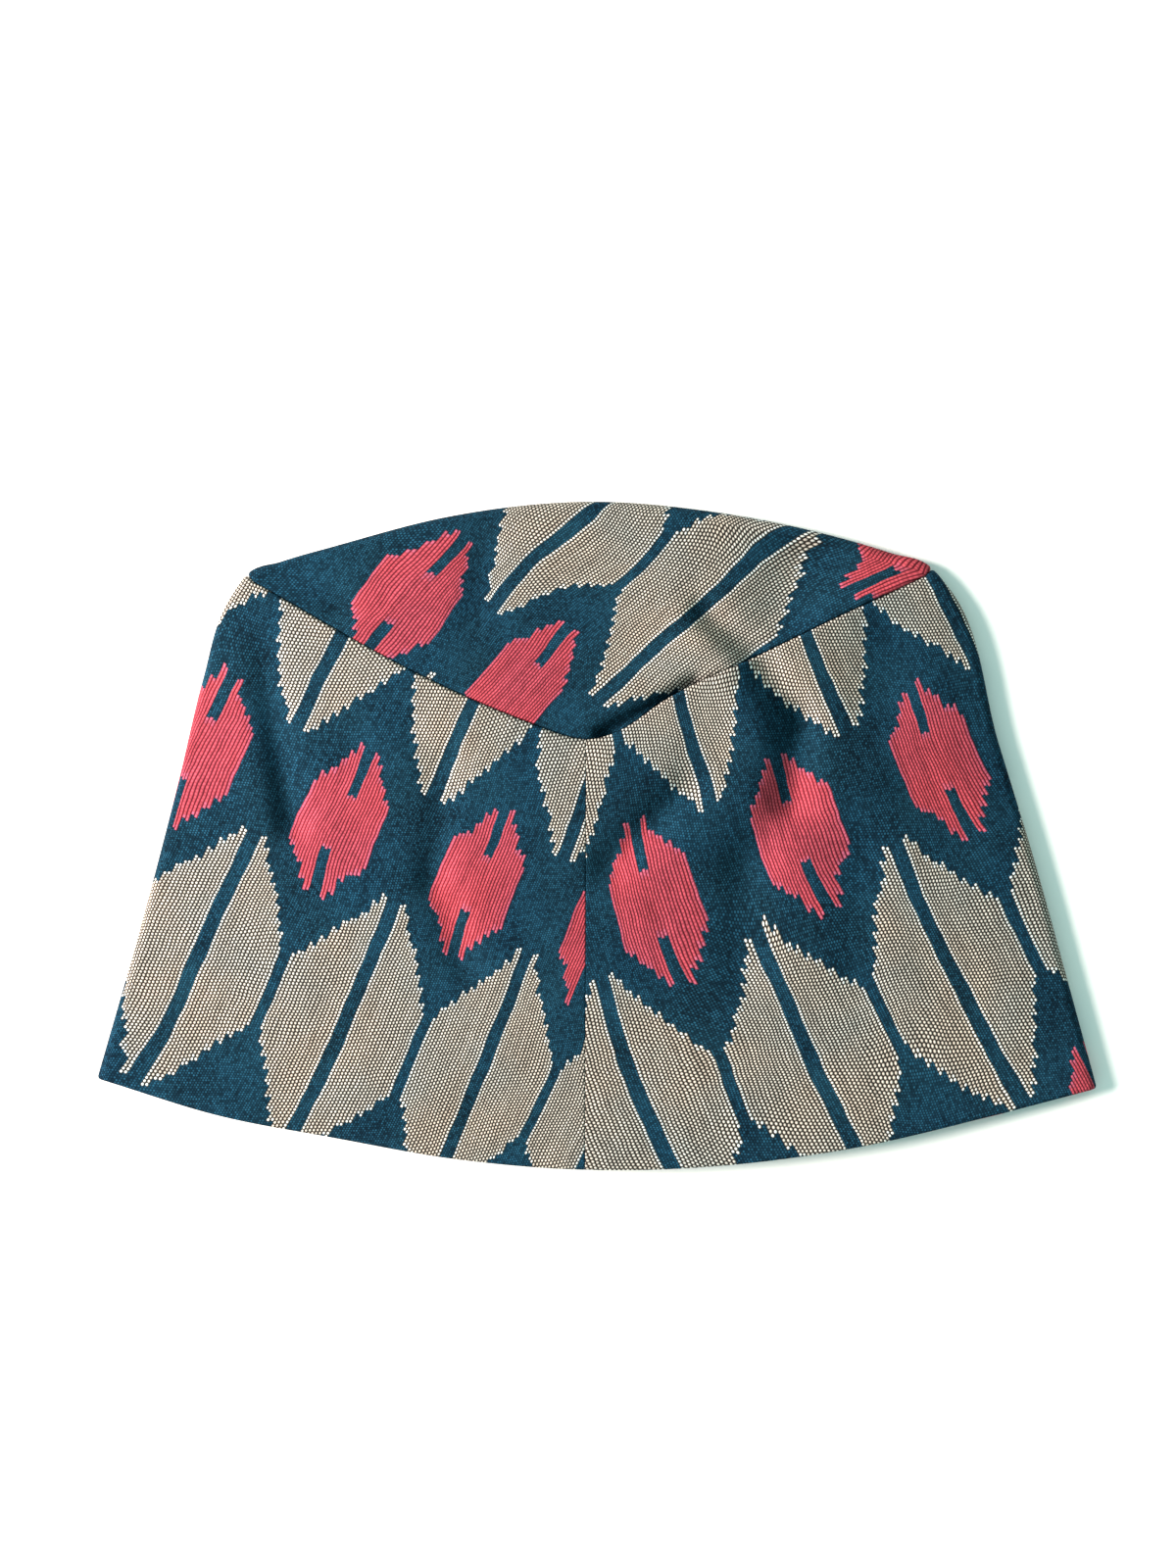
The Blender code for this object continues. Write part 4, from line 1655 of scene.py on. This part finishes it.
@dataclass(kw_only=True)
class Crown(SewnPiece):
    """The crown: a leaf of cloth from the front crown seam over the ridge to the back crown seam."""

    repeat: WovenRepeat = WovenRepeat(pull_slack=0.15)
    step: float = 1.5
    back_step: float = 4.0
    half_length: float = 96.0
    depth: float = 64.0
    allowance: float = 0.12
    allowance_rows: int = 3
    lip: EdgeRounding = EdgeRounding(1.1, False)

    def piece(self) -> ClothPiece:
        """Works out the crown's patch and the rounding of its two long edges.

        Returns:
            The cloth piece, its first grid axis from left to right, its second from front to back.
        """
        half = graded(self.half_length, self.step, False, True)
        across = np.concatenate([-half[:0:-1], half])
        front_seam = self.form.edge_line(CROWN_SEAM, across, 1.0, Half.FRONT)
        back_seam = self.form.edge_line(CROWN_SEAM, across, 1.0, Half.BACK)
        station = self.form.ridge_middle + across
        ridge = self.form.centre(station)
        hidden = np.linspace(-self.allowance, 0.0, self.allowance_rows + 1)[:-1]
        front = np.concatenate([hidden, graded(self.depth, self.step, True, False)])
        back = graded(self.depth, self.back_step, True, False)[::-1]
        angles = self.form.fold_angles()
        plan = front_seam[:, None] + front[None, :, None] * (ridge - front_seam)[:, None]
        top = self.form.lying(plan, self.form.crown_top(across, front, plan), 1.0, plan)
        turn = self.form.turned(station, angles)
        fold = ClothPatch(*(grid.swapaxes(0, 1) for grid in (turn.outer, turn.facing, turn.flat)))
        under_plan = back_seam[:, None] + back[None, :, None] * (ridge - back_seam)[:, None]
        unrolled = self.form.unrolled(station, under_plan.swapaxes(0, 1)).swapaxes(0, 1)
        under = self.form.lying(under_plan, np.zeros(1), -1.0, unrolled)
        patch = top.joined([fold, under], axis=1)
        on_fold = self.form.fold_top(station)[:, None]
        beyond = np.broadcast_to(on_fold, (len(across), len(angles) + len(back), 3))
        on_top = np.concatenate([top.outer, beyond], axis=1)
        share = np.concatenate([front, np.ones(len(angles)), back])
        span = np.linalg.norm(ridge - front_seam, axis=-1)
        outer, inner = self.lip.drops(np.abs(share)[None, :] * span[:, None])
        name = self.node + "_cloth"
        return ClothPiece(name, patch, on_top, self.marks, outer, inner, True, repeat=self.repeat)


def flat_area(flat: np.ndarray) -> float:
    """The area of an unrolled grid: half the cross product of each cell's diagonals, added up.

    Args:
        flat: The grid's places on the flat cloth, in millimetres.

    Returns:
        The area in square metres.
    """
    a = flat[1:, 1:] - flat[:-1, :-1]
    b = flat[1:, :-1] - flat[:-1, 1:]
    return float(np.abs(a[..., 0] * b[..., 1] - a[..., 1] * b[..., 0]).sum() / 2) * MM * MM


@dataclass(frozen=True)
class PaintedBoard:
    """The finish of the white board that the cap lies on."""

    colour: Colour = (0.93, 0.93, 0.93)
    roughness: float = 0.7
    grain_scale: float = 30.0
    grain_ramp: tuple[float, float] = (0.3, 0.7)
    dimmest: float = 0.985

    def material(self) -> bpy.types.Material:
        """A matt white with the faintest unevenness.

        Returns:
            The material.
        """
        material = bpy.data.materials.new("white_board")
        desk = NodeDesk(material)
        place = Term(desk, desk.add("ShaderNodeTexCoord").outputs["Object"])
        tone = desk.noise(place, self.grain_scale).ramp(*self.grain_ramp, self.dimmest, 1.0)
        desk.cover(desk.times(self.colour, desk.grey(tone)), self.roughness)
        return material


@dataclass(frozen=True)
class Studio:
    """The table, and the window light from the left."""

    board_size: float = 4000.0
    board_steps: int = 8
    board_drop: float = 0.3
    key_distance: float = 2400.0
    key_elevation: float = 31.0
    key_turn: float = 175.0
    key_size: float = 1200.0
    key_power: float = 222.0
    key_colour: Colour = (1.0, 0.86, 0.80)
    fill_colour: Colour = (0.56, 0.84, 0.78)
    fill_strength: float = 0.86

    def build(self) -> None:
        """Lays the board and hangs the lights."""
        self.board()
        self.lights()

    def board(self) -> None:
        """A flat square of white board just under the cloth."""
        side = self.board_size * MM / 2
        line = np.linspace(-side, side, self.board_steps + 1)
        x, y = np.meshgrid(line, line, indexing="ij")
        points = np.stack([x, y, np.full_like(x, -self.board_drop * MM)], axis=-1).reshape(-1, 3)
        index = np.arange(x.size).reshape(x.shape)
        faces = np.stack([index[:-1, :-1], index[1:, :-1], index[1:, 1:], index[:-1, 1:]], axis=-1)
        mesh = bpy.data.meshes.new("white_board")
        mesh.from_pydata(points.tolist(), [], faces.reshape(-1, 4).tolist())
        board = bpy.data.objects.new("white_board", mesh)
        bpy.context.collection.objects.link(board)
        board.data.materials.append(PaintedBoard().material())

    def lights(self) -> None:
        """A large soft light on the left and a cool even fill from all round."""
        lamp = bpy.data.lights.new("window", "AREA")
        lamp.shape = "DISK"
        lamp.size = self.key_size * MM
        lamp.energy = self.key_power
        lamp.color = self.key_colour
        window = bpy.data.objects.new("window", lamp)
        up, turn = math.radians(self.key_elevation), math.radians(self.key_turn)
        level = math.cos(up)
        place = Vector((level * math.cos(turn), level * math.sin(turn), math.sin(up)))
        place *= self.key_distance * MM
        window.location = place
        window.rotation_euler = (-place).to_track_quat("-Z", "Y").to_euler()
        bpy.context.collection.objects.link(window)
        world = bpy.data.worlds.new("room")
        world.use_nodes = True
        background = world.node_tree.nodes["Background"]
        background.inputs["Color"].default_value = (*self.fill_colour, 1.0)
        background.inputs["Strength"].default_value = self.fill_strength
        bpy.context.scene.world = world


def main() -> None:
    """Builds the cap piece by piece, then the table."""
    logging.basicConfig(level=logging.INFO, format="%(name)s: %(message)s")
    pieces: tuple[SewnPiece, ...] = (
        HalfBand(
            node="band_left",
            slot="left_band_cloth",
            finish=InlaidCotton("left_band_cloth", rods_above=-28.0, rods_left_of=108.5),
            marks=LEFT_MARKS,
            side=Side.LEFT,
        ),
        HalfBand(
            node="band_right",
            slot="right_band_cloth",
            finish=InlaidCotton("right_band_cloth", rods_right_of=-50.0),
            marks=RIGHT_MARKS,
            side=Side.RIGHT,
        ),
        Crown(
            node="crown",
            slot="crown_cloth",
            finish=InlaidCotton("crown_cloth", right_of=-36.0),
            marks=CROWN_MARKS,
        ),
    )
    for piece in pieces:
        made = piece.make()
        LOG.info("made %s", made.name)
    Studio().build()
    Overhead().build()


if __name__ == "__main__":
    main()
